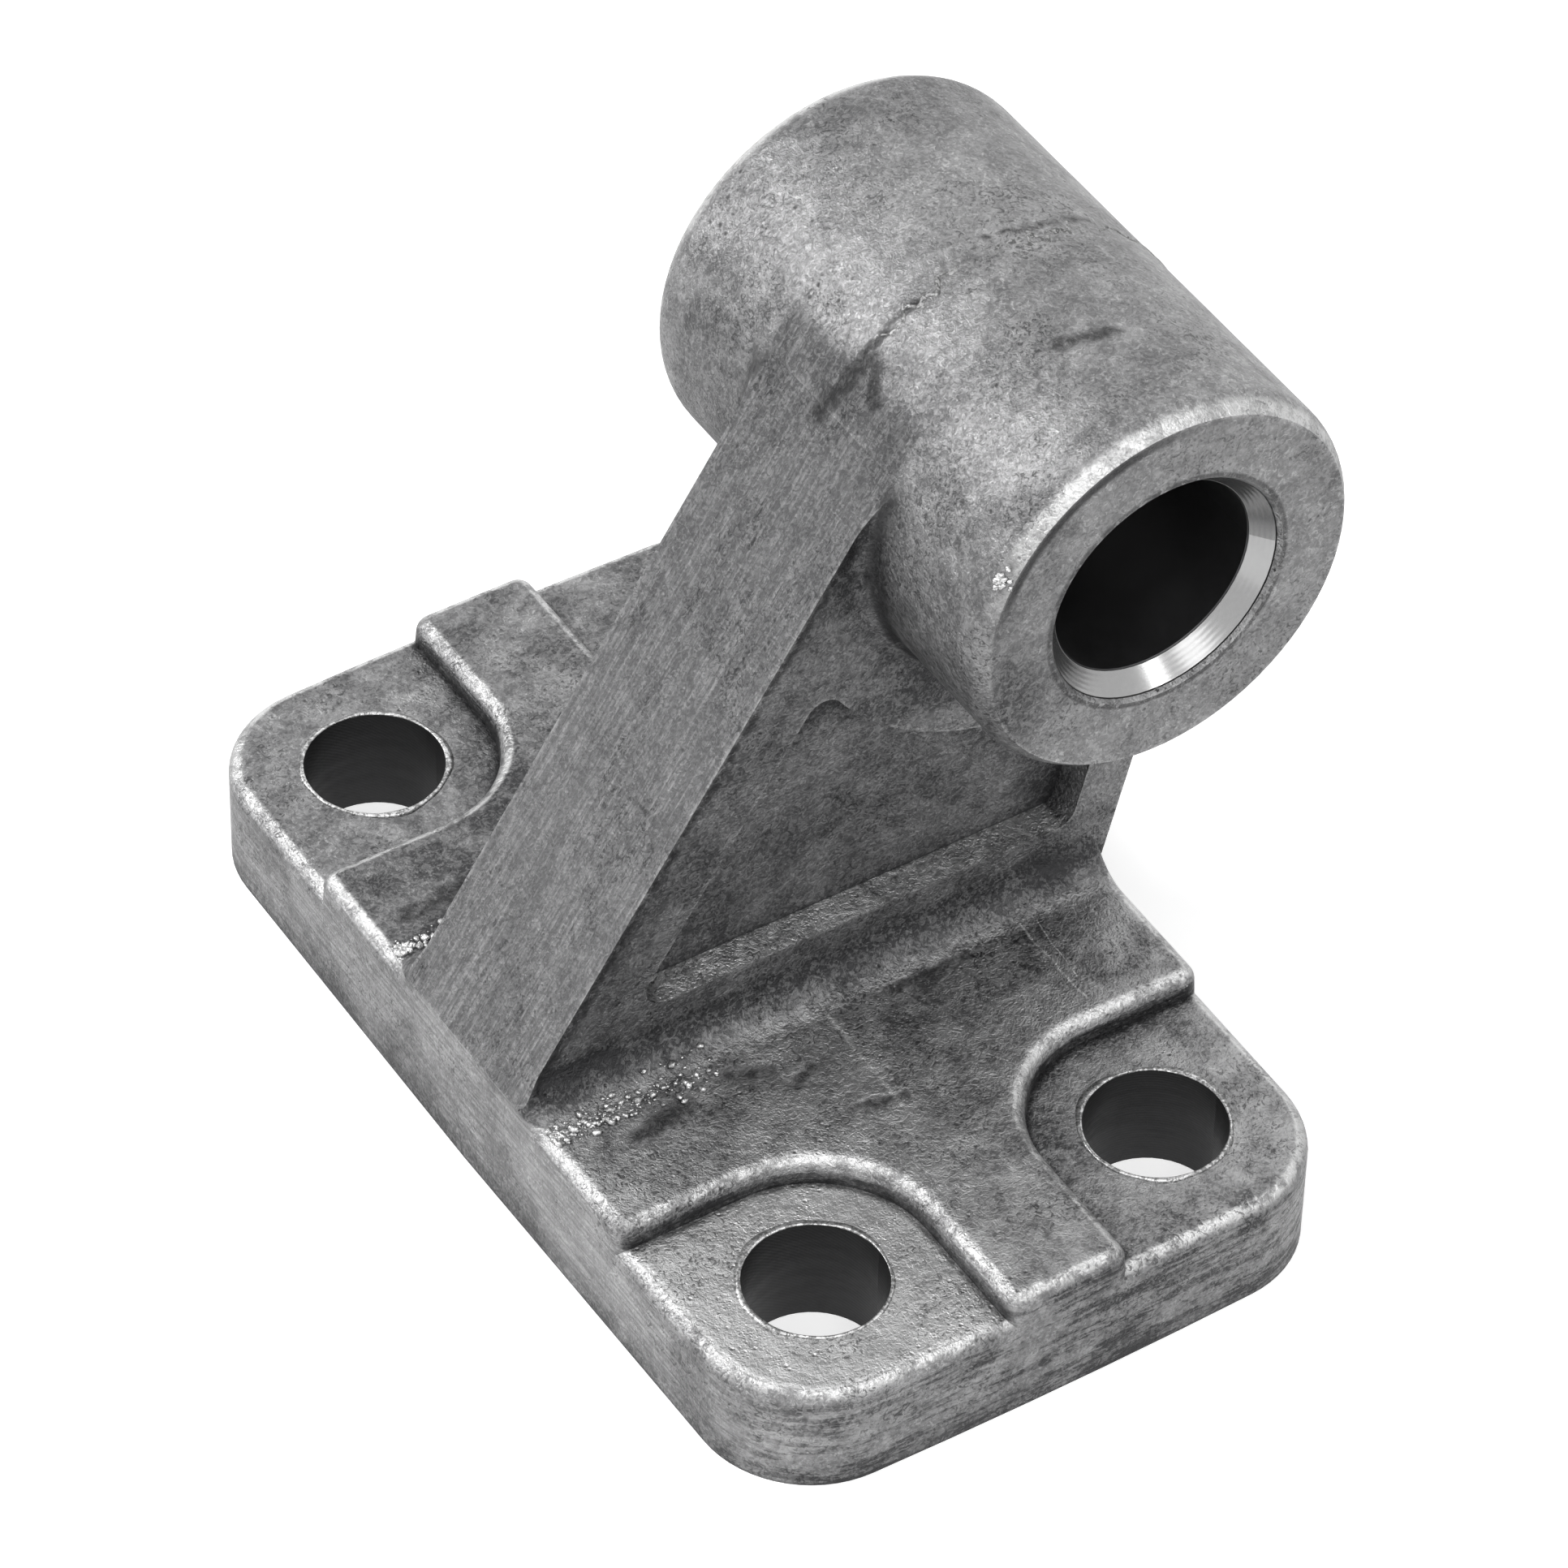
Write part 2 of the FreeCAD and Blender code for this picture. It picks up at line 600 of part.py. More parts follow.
hole_plan = sketch_on("XY_Plane", "hole_plan", "dims.seat_height")
hole_plan.addGeometry(Part.Circle(V(-HOLE_X, -HOLE_Y, 0), V(0, 0, 1), dim("hole_dia") / 2), False)
fixed_point(hole_plan, 0, 3, "corner", "-dims.hole_pitch_x / 2", "-dims.hole_pitch_y / 2")
hold(hole_plan, "hole", "Radius", (0,), "dims.hole_dia / 2")
doc.recompute()
hole = body.newObject("PartDesign::Hole", "screw_hole")
hole.Profile = hole_plan
hole.DepthType = "ThroughAll"
hole.setExpression("Diameter", "dims.hole_dia")
doc.recompute()
settle(hole)
across = body.newObject("PartDesign::LinearPattern", "holes_across")
across.Direction = (origin("X_Axis"), [""])
across.Occurrences = 2
across.setExpression("Length", "dims.hole_pitch_x")
lengthways = body.newObject("PartDesign::LinearPattern", "holes_along")
lengthways.Direction = (origin("Y_Axis"), [""])
lengthways.Occurrences = 2
lengthways.setExpression("Length", "dims.hole_pitch_y")
grid = body.newObject("PartDesign::MultiTransform", "screw_holes")
grid.Originals = [hole]
grid.Transformations = [across, lengthways]
doc.recompute()
settle(grid)

# Every object is checked before anything is written
doc.recompute()
for item in doc.Objects:
    if "Invalid" in item.State or "Error" in item.State:
        raise RuntimeError(f"{item.Name} did not rebuild: {item.State}")
shape = body.Shape
if not shape.isValid() or len(shape.Solids) != 1:
    raise RuntimeError("the casting is not one sound solid")
solid = shape.Solids[0]
print(f"bracket_casting: {solid.Volume:.1f} mm3, box {solid.optimalBoundingBox()}")
solid.exportStep(f"parts/{body.Label}.step")
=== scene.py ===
"""Counter bracket for a small air cylinder: the finish and the setting of one die casting.

The casting itself is the solid of the frame. This file gives it its finish, adds the thin
traces that casting and handling leave on it, and sets up the floor, the light and the camera.
Every length in the settings is in metres, and +Z is up from the underside of the foot. The
shader masks and the sizes below them work in millimetres.
"""

import math
from types import SimpleNamespace

import bmesh
import bpy
import numpy as np
from mathutils import Matrix, Vector


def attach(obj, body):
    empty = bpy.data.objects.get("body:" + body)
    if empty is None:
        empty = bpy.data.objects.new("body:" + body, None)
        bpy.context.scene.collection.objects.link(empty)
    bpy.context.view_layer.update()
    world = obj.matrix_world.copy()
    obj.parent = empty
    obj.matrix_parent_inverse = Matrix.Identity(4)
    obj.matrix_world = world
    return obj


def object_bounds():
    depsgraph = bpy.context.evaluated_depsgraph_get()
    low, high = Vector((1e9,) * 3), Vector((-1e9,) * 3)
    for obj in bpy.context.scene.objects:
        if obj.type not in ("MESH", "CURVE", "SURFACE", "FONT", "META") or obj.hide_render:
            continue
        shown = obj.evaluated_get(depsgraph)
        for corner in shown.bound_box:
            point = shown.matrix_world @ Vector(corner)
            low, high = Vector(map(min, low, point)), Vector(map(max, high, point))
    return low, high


bl_info = {
    "name": "Counter bracket",
    "version": (1, 0, 0),
    "blender": (4, 5, 0),
    "location": "3D View > Sidebar > Bracket",
    "description": "Finish, casting traces and setting of a die-cast counter bracket",
    "category": "Object",
}

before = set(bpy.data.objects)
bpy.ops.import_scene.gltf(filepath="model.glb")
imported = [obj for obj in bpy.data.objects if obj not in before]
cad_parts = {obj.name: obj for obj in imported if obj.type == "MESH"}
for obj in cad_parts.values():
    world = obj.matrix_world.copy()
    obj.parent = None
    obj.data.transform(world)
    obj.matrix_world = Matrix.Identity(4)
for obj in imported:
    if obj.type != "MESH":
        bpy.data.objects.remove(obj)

CASTING = "bracket_casting"
BODY = "root"
MM = 0.001
CAD_LOW, CAD_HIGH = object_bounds()

# Sizes of the casting that the finish and the traces follow, in millimetres
PIVOT = (12.0, 0.0, 32.0)
BOSS_RADIUS = 9.8
BORE_RADIUS = 5.0
TURNED_RADIUS = 5.8
HOLE_X, HOLE_Y, HOLE_RADIUS = 9.0, 19.0, 3.3
SEAT_RADIUS = 5.8
SEAT_Z = 5.7
PAD_Z = 7.0
WEB_HALF = 4.8
SLOPE = math.radians(56.8)

# Marks on the casting: where each starts, how it runs, and its half width, in millimetres
STAIN_MARKS = (
    ((11.5, 1.0, 41.8), (2.5, -0.4, -0.2), 0.3),
    ((14.0, 0.6, 41.6), (2.9, 0.3, -1.1), 0.4),
    ((4.3, 0.1, 38.3), (3.1, 0.0, 2.4), 0.35),
    ((2.9, 0.7, 35.9), (2.0, -1.1, 2.9), 0.8),
    ((4.9, -0.7, 38.8), (-0.8, -1.2, -1.0), 0.6),
    ((10.4, -6.4, 41.7), (2.6, -0.6, 0.1), 0.6),
    ((3.2, -13.1, 36.4), (0.5, 0.0, 1.0), 0.75),
    ((-11.6, -8.6, 7.0), (2.6, 0.5, 0.0), 1.0),
    ((-6.4, -7.6, 7.0), (1.8, -0.7, 0.0), 0.8),
    ((-4.0, -9.6, 7.0), (1.2, 0.6, 0.0), 0.6),
    ((-2.6, -12.2, 7.0), (2.4, -0.5, 0.0), 0.5),
    ((2.6, -6.9, 7.0), (4.2, 0.1, 0.0), 0.5),
    ((-13.5, 8.5, 7.0), (3.5, 0.4, 0.0), 0.7),
)
SCRATCH_MARKS = (
    ((-0.5, -6.1, 7.0), (-0.2, -7.0, 0.0), 0.2),
    ((10.0, -5.3, 7.0), (0.0, -6.6, 0.0), 0.1),
    ((10.9, -6.0, 7.0), (-0.5, -4.6, 0.0), 0.06),
    ((-9.6, -4.9, 7.1), (3.2, -0.4, 0.0), 0.07),
    ((3.4, -11.2, 7.0), (2.4, -3.6, 0.0), 0.05),
)
WEB_EDGE_MARKS = (((-15.4, 4.8, 7.2), (19.4, 0.0, 29.9), 0.6),)

# Runs of the parting seam: from and to in degrees past the top of the boss, and place along it
SEAM_RUNS = (
    ("seam_top", -64.0, -30.0, 0.2),
    ("seam_left", 14.0, 42.0, 0.0),
    ("seam_mid", -24.0, 4.0, 0.1),
)

# Lamps: name, azimuth and elevation in degrees, distance and side in metres, power in watts
LAMPS = (
    ("lamp behind left", -136.0, 33.0, 0.6, 0.2, 1.9),
    ("lamp behind right", 140.0, 30.0, 0.7, 0.6, 0.7),
    ("lamp above", -60.0, 75.0, 0.7, 0.5, 0.6),
    ("lamp in front left", -26.0, 60.0, 0.7, 0.5, 1.5),
    ("lamp in front right", 36.0, 47.0, 0.6, 0.1, 0.3),
)


# Settings


def colour_setting(name, description, shade):
    """A colour property."""
    return bpy.props.FloatVectorProperty(
        name=name, description=description, subtype="COLOR", size=3, min=0.0, max=1.0, default=shade
    )


def length_setting(name, description, size):
    """A length property, in metres."""
    return bpy.props.FloatProperty(
        name=name, description=description, default=size, min=0.0, precision=6,
        subtype="DISTANCE", unit="LENGTH",
    )


def angle_setting(name, description, degrees):
    """An angle property, given in degrees."""
    return bpy.props.FloatProperty(
        name=name, description=description, default=math.radians(degrees),
        subtype="ANGLE", unit="ROTATION",
    )


class BRACKET_PG_finish(bpy.types.PropertyGroup):
    """The cast skin and its wear, and the colours that paint its shade and highlights."""

    skin: colour_setting("Skin", "Bare cast aluminium, dulled by handling", (0.225, 0.225, 0.227))
    # The bright grain colour also paints light on the level faces at the front and on the near left
    # seat.
    bright: colour_setting("Bright grain", "The lighter grains of the skin", (0.47, 0.47, 0.472))
    # The stain colour also paints shade: in hollows and creases, on the web's sides and root, near
    # the web, and on the rear and +X level faces.
    stain_and_shade: colour_setting("Stain", "Dull grey stain in the hollows", (0.05, 0.05, 0.052))
    # The grime colour also paints shade in the inner corners at the root of the boss and at the
    # feet of the seat walls.
    grime_and_crease_shade: colour_setting("Grime", "Residue in cracks, pits and corners", (0.022, 0.022, 0.023))
    # The rubbed colour also paints highlights: on the rims of the foot and the boss, on the ledge
    # in the recess and on the near left seat.
    wear_and_highlight: colour_setting("Rubbed metal", "Edges that are rubbed bright", (0.66, 0.66, 0.66))
    drilled: colour_setting("Drilled wall", "Oily wall of a screw hole", (0.045, 0.045, 0.046))
    bored: colour_setting("Bored wall", "Dark wall of the pivot bore", (0.07, 0.07, 0.072))
    turned: colour_setting("Turned lead-in", "Lead-in at the bore mouths", (0.4, 0.4, 0.4))
    edge_reach: length_setting("Edge reach", "How far in a rubbed band runs", 0.35 * MM)
    relief: length_setting("Relief", "Depth of the unevenness of the skin", 0.06 * MM)


class BRACKET_PG_traces(bpy.types.PropertyGroup):
    """The small raised traces on the casting."""

    seam_width: length_setting("Seam width", "Half width of the parting seam", 0.28 * MM)
    seam_height: length_setting("Seam height", "Height of the parting seam", 0.07 * MM)
    burr_width: length_setting("Burr width", "Width of a screw hole's burr", 0.42 * MM)
    burr_height: length_setting("Burr height", "Height of a screw hole's burr", 0.1 * MM)
    crumb_size: length_setting("Crumb size", "Largest crumb of metal", 0.22 * MM)
    crumbs: bpy.props.IntProperty(
        name="Crumbs", description="Number of crumbs of metal at each web toe", default=230, min=0
    )


class BRACKET_PG_setting(bpy.types.PropertyGroup):
    """Floor, light and camera."""

    eye_azimuth: angle_setting("Camera azimuth", "Turn from straight in front", -33.514)
    eye_elevation: angle_setting("Camera elevation", "Height above the horizon", 44.168)
    eye_roll: angle_setting("Camera roll", "Turn about the line of sight", 1.484)
    eye_distance: length_setting("Camera distance", "From the lens to its aim", 357.409 * MM)
    eye_aim: bpy.props.FloatVectorProperty(
        name="Camera aim", description="Point that the camera looks at", size=3,
        default=(-1.734 * MM, -4.509 * MM, 20.245 * MM), subtype="XYZ", unit="LENGTH",
    )
    lens: bpy.props.FloatProperty(
        name="Focal length", description="Focal length in millimetres for a 36 mm sensor",
        default=187.12, min=1.0,
    )
    floor_colour: colour_setting("Floor", "Colour of the floor", (0.9, 0.9, 0.9))
    floor_half: length_setting("Floor half width", "Half of the side of the floor", 0.9)


# Shader building

FLOAT = "NodeSocketFloat"
VECTOR = "NodeSocketVector"
ZERO = (0.0, 0.0, 0.0)


def add_node(tree, kind, **values):
    """One shader node; plain names set its attributes."""
    node = tree.nodes.new(kind)
    for name, value in values.items():
        setattr(node, name, value)
    return node


def wire(tree, start, end):
    """A link between two sockets."""
    tree.links.new(start, end)


def feed(tree, socket, value):
    """Puts a socket's link or plain value on another socket."""
    if isinstance(value, bpy.types.NodeSocket):
        tree.links.new(value, socket)
    else:
        socket.default_value = value


def arithmetic(tree, operation, first, second=0.0, third=None, clamp=False):
    """A Math node on links or numbers; gives back its output."""
    node = add_node(tree, "ShaderNodeMath", operation=operation, use_clamp=clamp)
    feed(tree, node.inputs[0], first)
    feed(tree, node.inputs[1], second)
    if third is not None:
        feed(tree, node.inputs[2], third)
    return node.outputs[0]


def vectors(tree, operation, *parts, scale=None):
    """A Vector Math node on links or values; gives back its vector, or its number."""
    node = add_node(tree, "ShaderNodeVectorMath", operation=operation)
    for socket, part in zip(node.inputs, parts):
        feed(tree, socket, part)
    if scale is not None:
        feed(tree, node.inputs["Scale"], scale)
    return node.outputs["Value" if operation in ("DOT_PRODUCT", "LENGTH", "DISTANCE") else 0]


def ramp(tree, value, low, high, floor=0.0, top=1.0):
    """A value eased from floor at low to top at high."""
    node = add_node(tree, "ShaderNodeMapRange", interpolation_type="SMOOTHSTEP")
    feed(tree, node.inputs["Value"], value)
    feed(tree, node.inputs["From Min"], low)
    feed(tree, node.inputs["From Max"], high)
    feed(tree, node.inputs["To Min"], floor)
    feed(tree, node.inputs["To Max"], top)
    return node.outputs["Result"]


def blend_colour(tree, share, first, second):
    """A colour that passes from the first to the second where the share is full."""
    node = add_node(tree, "ShaderNodeMix", data_type="RGBA")
    feed(tree, node.inputs[0], share)
    feed(tree, node.inputs[6], first)
    feed(tree, node.inputs[7], second)
    return node.outputs[2]


def over(tree, mask, first, second):
    """A value that passes from the first to the second where the mask is full."""
    node = add_node(tree, "ShaderNodeMix", data_type="FLOAT")
    feed(tree, node.inputs[0], mask)
    feed(tree, node.inputs[2], first)
    feed(tree, node.inputs[3], second)
    return node.outputs[0]


def add_up(tree, *parts):
    """The sum of several (value, share) pairs."""
    total = 0.0
    for value, share in parts:
        total = arithmetic(tree, "MULTIPLY_ADD", value, share, total)
    return total


def product(tree, *parts):
    """Several masks at once."""
    total = parts[0]
    for part in parts[1:]:
        total = arithmetic(tree, "MULTIPLY", total, part)
    return total


def most(tree, *parts):
    """The fullest of several masks."""
    total = parts[0]
    for part in parts[1:]:
        total = arithmetic(tree, "MAXIMUM", total, part)
    return total


def inverse(tree, mask):
    """Where a mask is empty."""
    return arithmetic(tree, "SUBTRACT", 1.0, mask)


def beside(tree, value, middle, outer, inner):
    """A band round a value: empty beyond outer from the middle, full within inner."""
    off = arithmetic(tree, "ABSOLUTE", arithmetic(tree, "SUBTRACT", value, middle))
    return ramp(tree, off, outer, inner)


def noise(tree, place, scale, detail=4.0, rough=0.55, warp=0.0):
    """A Noise Texture on a place in millimetres."""
    node = add_node(tree, "ShaderNodeTexNoise")
    feed(tree, node.inputs["Vector"], place)
    feed(tree, node.inputs["Scale"], scale)
    node.inputs["Detail"].default_value = detail
    node.inputs["Roughness"].default_value = rough
    node.inputs["Distortion"].default_value = warp
    return node.outputs["Fac"]


def wander(tree, place, scale, reach):
    """A place in millimetres shifted a little to and fro."""
    shift = add_node(tree, "ShaderNodeTexNoise")
    wire(tree, place, shift.inputs["Vector"])
    shift.inputs["Scale"].default_value = scale
    shift.inputs["Detail"].default_value = 2.0
    middle = vectors(tree, "SUBTRACT", shift.outputs["Color"], (0.5, 0.5, 0.5))
    return vectors(tree, "MULTIPLY_ADD", middle, (reach, reach, reach), place)


def group_tree(name, outputs, kind=FLOAT, **inputs):
    """A shader node group: the names of its outputs and their kind, its inputs and their defaults.

    A number makes a number's socket; three numbers, or None for no default, a vector's."""
    tree = bpy.data.node_groups.new(name, "ShaderNodeTree")
    for title, default in inputs.items():
        socket = tree.interface.new_socket(
            name=title, in_out="INPUT", socket_type=FLOAT if isinstance(default, float) else VECTOR
        )
        if default is not None:
            socket.default_value = default
    for title in outputs:
        tree.interface.new_socket(name=title, in_out="OUTPUT", socket_type=kind)
    start = add_node(tree, "NodeGroupInput")
    end = add_node(tree, "NodeGroupOutput")
    return tree, start.outputs, end.inputs


def use_group(tree, name, **values):
    """A node group placed in a tree, with links or values on its sockets."""
    node = add_node(tree, "ShaderNodeGroup", node_tree=bpy.data.node_groups[name])
    for title, value in values.items():
        feed(tree, node.inputs[title], value)
    return node.outputs


def new_material(name):
    """A material with a Principled shader: the material, its tree and the shader's sockets."""
    material = bpy.data.materials.new(name)
    material.use_nodes = True
    tree = material.node_tree
    return material, tree, tree.nodes["Principled BSDF"].inputs


def bump(tree, height, depth):
    """A Bump node for a height in parts of its depth."""
    node = add_node(tree, "ShaderNodeBump")
    node.inputs["Strength"].default_value = 1.0
    node.inputs["Distance"].default_value = depth
    feed(tree, node.inputs["Height"], height)
    return node.outputs[0]


def colour(values):
    """A colour setting with its alpha."""
    return (*values, 1.0)


# Shared effects


def place_group():
    """A spot in millimetres, and the way that the surface faces there."""
    tree, _, end = group_tree("place in mm", ("Place", "Facing"), VECTOR)
    coords = add_node(tree, "ShaderNodeTexCoord").outputs
    wire(tree, vectors(tree, "SCALE", coords["Object"], scale=1.0 / MM), end["Place"])
    wire(tree, coords["Normal"], end["Facing"])


def patches_group():
    """Soft patches, where a slow noise rises from one level to another."""
    tree, start, end = group_tree("patches", ("Mask",), Place=None, Scale=0.2, From=0.4, To=0.6)
    cloud = noise(tree, start["Place"], start["Scale"], 6.0, 0.62, 0.4)
    wire(tree, ramp(tree, cloud, start["From"], start["To"]), end["Mask"])


def worms_group():
    """Short curled grains, as cast skin has."""
    tree, start, end = group_tree("worms", ("Mask",), Place=None, Scale=4.0)
    curls = noise(tree, start["Place"], start["Scale"], 3.0, 0.6, 1.2)
    wire(tree, ramp(tree, curls, 0.4, 0.6), end["Mask"])


def pits_group():
    """Small round spots, in the regions where a slower noise is high."""
    tree, start, end = group_tree("pits", ("Mask",), Place=None, Scale=1.0, Size=0.2, Share=0.5)
    cells = add_node(tree, "ShaderNodeTexVoronoi", feature="F1")
    wire(tree, start["Place"], cells.inputs["Vector"])
    wire(tree, start["Scale"], cells.inputs["Scale"])
    spot = ramp(tree, cells.outputs["Distance"], start["Size"], 0.0)
    keep = ramp(tree, noise(tree, start["Place"], 0.35, 3.0), start["Share"], 0.62)
    wire(tree, product(tree, spot, keep), end["Mask"])


def lines_group():
    """Grinding lines: noise on a place that is turned and then stretched."""
    tree, start, end = group_tree(
        "grinding lines", ("Height",), Place=None, Stretch=(1.0, 1.0, 1.0), Turn=ZERO
    )
    turned = add_node(tree, "ShaderNodeVectorRotate", rotation_type="EULER_XYZ")
    wire(tree, start["Place"], turned.inputs["Vector"])
    wire(tree, start["Turn"], turned.inputs["Rotation"])
    drawn = vectors(tree, "MULTIPLY", turned.outputs[0], start["Stretch"])
    wire(tree, noise(tree, drawn, 1.0, 5.0, 0.7), end["Height"])


def edges_group():
    """How far the surface turns within a short reach: full on a sharp edge or crease."""
    tree, start, end = group_tree("edges and creases", ("Mask",), Reach=0.0007, Sharp=0.35)
    rounded = add_node(tree, "ShaderNodeBevel", samples=4)
    wire(tree, start["Reach"], rounded.inputs["Radius"])
    facing = add_node(tree, "ShaderNodeNewGeometry").outputs["Normal"]
    turned = inverse(tree, vectors(tree, "DOT_PRODUCT", rounded.outputs[0], facing))
    wire(tree, ramp(tree, turned, 0.0, start["Sharp"]), end["Mask"])


def hollows_group():
    """How shut in a spot is: one mask for hollows, one for open places."""
    tree, start, end = group_tree("hollows", ("Mask", "Open"), Reach=0.003)
    shade = add_node(tree, "ShaderNodeAmbientOcclusion", samples=6)
    wire(tree, start["Reach"], shade.inputs["Distance"])
    wire(tree, ramp(tree, shade.outputs["AO"], 0.97, 0.45), end["Mask"])
    wire(tree, ramp(tree, shade.outputs["AO"], 0.78, 0.97), end["Open"])


def facing_group():
    """Where the surface faces a given way."""
    tree, start, end = group_tree(
        "facing the way", ("Mask",), Facing=None, Way=(0.0, 0.0, 1.0), From=0.95, To=0.995
    )
    turned = vectors(tree, "DOT_PRODUCT", start["Facing"], start["Way"])
    wire(tree, ramp(tree, turned, start["From"], start["To"]), end["Mask"])


def distance_group():
    """Distance from a line through a point along an axis; Keep is 0 on that axis."""
    tree, start, end = group_tree(
        "distance from a line", ("Distance",), Place=None, Keep=(1.0, 0.0, 1.0), Centre=ZERO
    )
    away = vectors(tree, "SUBTRACT", start["Place"], start["Centre"])
    flat = vectors(tree, "MULTIPLY", away, start["Keep"])
    wire(tree, vectors(tree, "LENGTH", flat), end["Distance"])


def mark_group():
    """A soft mark round a straight run from a start."""
    tree, start, end = group_tree(
        "mark along a line", ("Mask",), Place=None, Start=ZERO, Run=(1.0, 0.0, 0.0), Width=0.1
    )
    away = vectors(tree, "SUBTRACT", start["Place"], start["Start"])
    onto = vectors(tree, "DOT_PRODUCT", away, start["Run"])
    square = vectors(tree, "DOT_PRODUCT", start["Run"], start["Run"])
    share = arithmetic(tree, "DIVIDE", onto, square, clamp=True)
    off = vectors(tree, "DISTANCE", away, vectors(tree, "SCALE", start["Run"], scale=share))
    wire(tree, ramp(tree, off, start["Width"], 0.0), end["Mask"])


SHARED_EFFECTS = (
    place_group, patches_group, worms_group, pits_group, lines_group, edges_group, hollows_group,
    facing_group, distance_group, mark_group,
)


# The casting's finish


def marks_along(tree, place, marks):
    """The marks of a table, drawn on a place that wanders a little so that they look hand-made."""
    drawn = [
        use_group(tree, "mark along a line", Place=place, Start=start, Run=run, Width=width)["Mask"]
        for start, run, width in marks
    ]
    return most(tree, *drawn)


def joined(tree, *parts):
    """A place made of three lengths."""
    node = add_node(tree, "ShaderNodeCombineXYZ")
    for socket, value in zip(node.inputs, parts):
        wire(tree, value, socket)
    return node.outputs[0]


def split(tree, place):
    """The three lengths of a place."""
    node = add_node(tree, "ShaderNodeSeparateXYZ")
    wire(tree, place, node.inputs[0])
    return node.outputs


def seat_distance(tree, across, along):
    """Distance from the corner of the foot beyond a hole's centre; a seat's wall follows it."""
    inside_x = arithmetic(tree, "MAXIMUM", arithmetic(tree, "SUBTRACT", HOLE_X, across), 0.0)
    inside_y = arithmetic(tree, "MAXIMUM", arithmetic(tree, "SUBTRACT", HOLE_Y, along), 0.0)
    square = arithmetic(tree, "MULTIPLY", inside_y, inside_y)
    return arithmetic(tree, "SQRT", arithmetic(tree, "MULTIPLY_ADD", inside_x, inside_x, square))


def casting_places(tree):
    """Masks and measures that say where on the casting a spot lies."""
    place = use_group(tree, "place in mm")
    here, facing = place["Place"], place["Facing"]
    x, y, z = split(tree, here)
    facing_x, facing_y, up = split(tree, facing)
    across = arithmetic(tree, "ABSOLUTE", x)
    along = arithmetic(tree, "ABSOLUTE", y)
    endways = arithmetic(tree, "ABSOLUTE", facing_y)
    sideways = arithmetic(tree, "ABSOLUTE", facing_x)

    def faces(way, low, high):
        return use_group(tree, "facing the way", Facing=facing, Way=way, From=low, To=high)["Mask"]

    def distance(start, keep, centre):
        return use_group(
            tree, "distance from a line", Place=start, Keep=keep, Centre=centre
        )["Distance"]

    level = faces((0.0, 0.0, 1.0), 0.9, 0.985)
    uphill = (-math.sin(SLOPE), 0.0, math.cos(SLOPE))
    slope = product(tree, faces(uphill, 0.985, 0.999), ramp(tree, along, WEB_HALF + 0.3, WEB_HALF))
    low = ramp(tree, z, PAD_Z + 1.4, PAD_Z + 0.4)
    upright = ramp(tree, arithmetic(tree, "ABSOLUTE", up), 0.5, 0.1)
    from_pivot = distance(here, (1.0, 0.0, 1.0), PIVOT)
    quarter = joined(tree, across, along, z)
    from_hole = distance(quarter, (1.0, 1.0, 0.0), (HOLE_X, HOLE_Y, 0.0))
    return SimpleNamespace(
        here=here,
        folded=joined(tree, x, along, z),
        x=x, z=z, up=up, along=along, endways=endways, sideways=sideways,
        from_pivot=from_pivot, from_hole=from_hole, level=level, slope=slope, low=low,
        rear=ramp(tree, y, 0.0, 6.0),
        side=product(tree, ramp(tree, sideways, 0.82, 0.985), low),
        end=product(tree, ramp(tree, endways, 0.82, 0.985), upright),
        skirt=product(tree, upright, low),
        pad=product(tree, level, low, ramp(tree, z, 6.2, 6.7)),
        # The near left seat: partly rubbed bright, partly painted light, brighter towards the left
        # as if lit from the front left.
        bright_seat=product(
            tree, level, low, ramp(tree, y, -11.5, -14.0), ramp(tree, x, 4.0, -5.0),
            ramp(tree, z, 6.3, 6.0),
        ),
        seat_wall=beside(tree, seat_distance(tree, across, along), SEAT_RADIUS, 0.42, 0.12),
        boss=ramp(tree, from_pivot, BOSS_RADIUS + 0.5, BOSS_RADIUS - 0.2),
        web=product(
            tree, ramp(tree, endways, 0.5, 0.9), ramp(tree, along, 6.9, 4.9),
            ramp(tree, from_pivot, BOSS_RADIUS - 0.1, BOSS_RADIUS + 0.4),
        ),
        web_root=product(
            tree, ramp(tree, up, 0.02, 0.2), ramp(tree, up, 0.97, 0.8),
            ramp(tree, along, 7.2, 6.6), ramp(tree, z, PAD_Z, PAD_Z + 0.06),
            ramp(tree, z, 9.4, 9.0), ramp(tree, endways, 0.1, 0.3),
        ),
    )


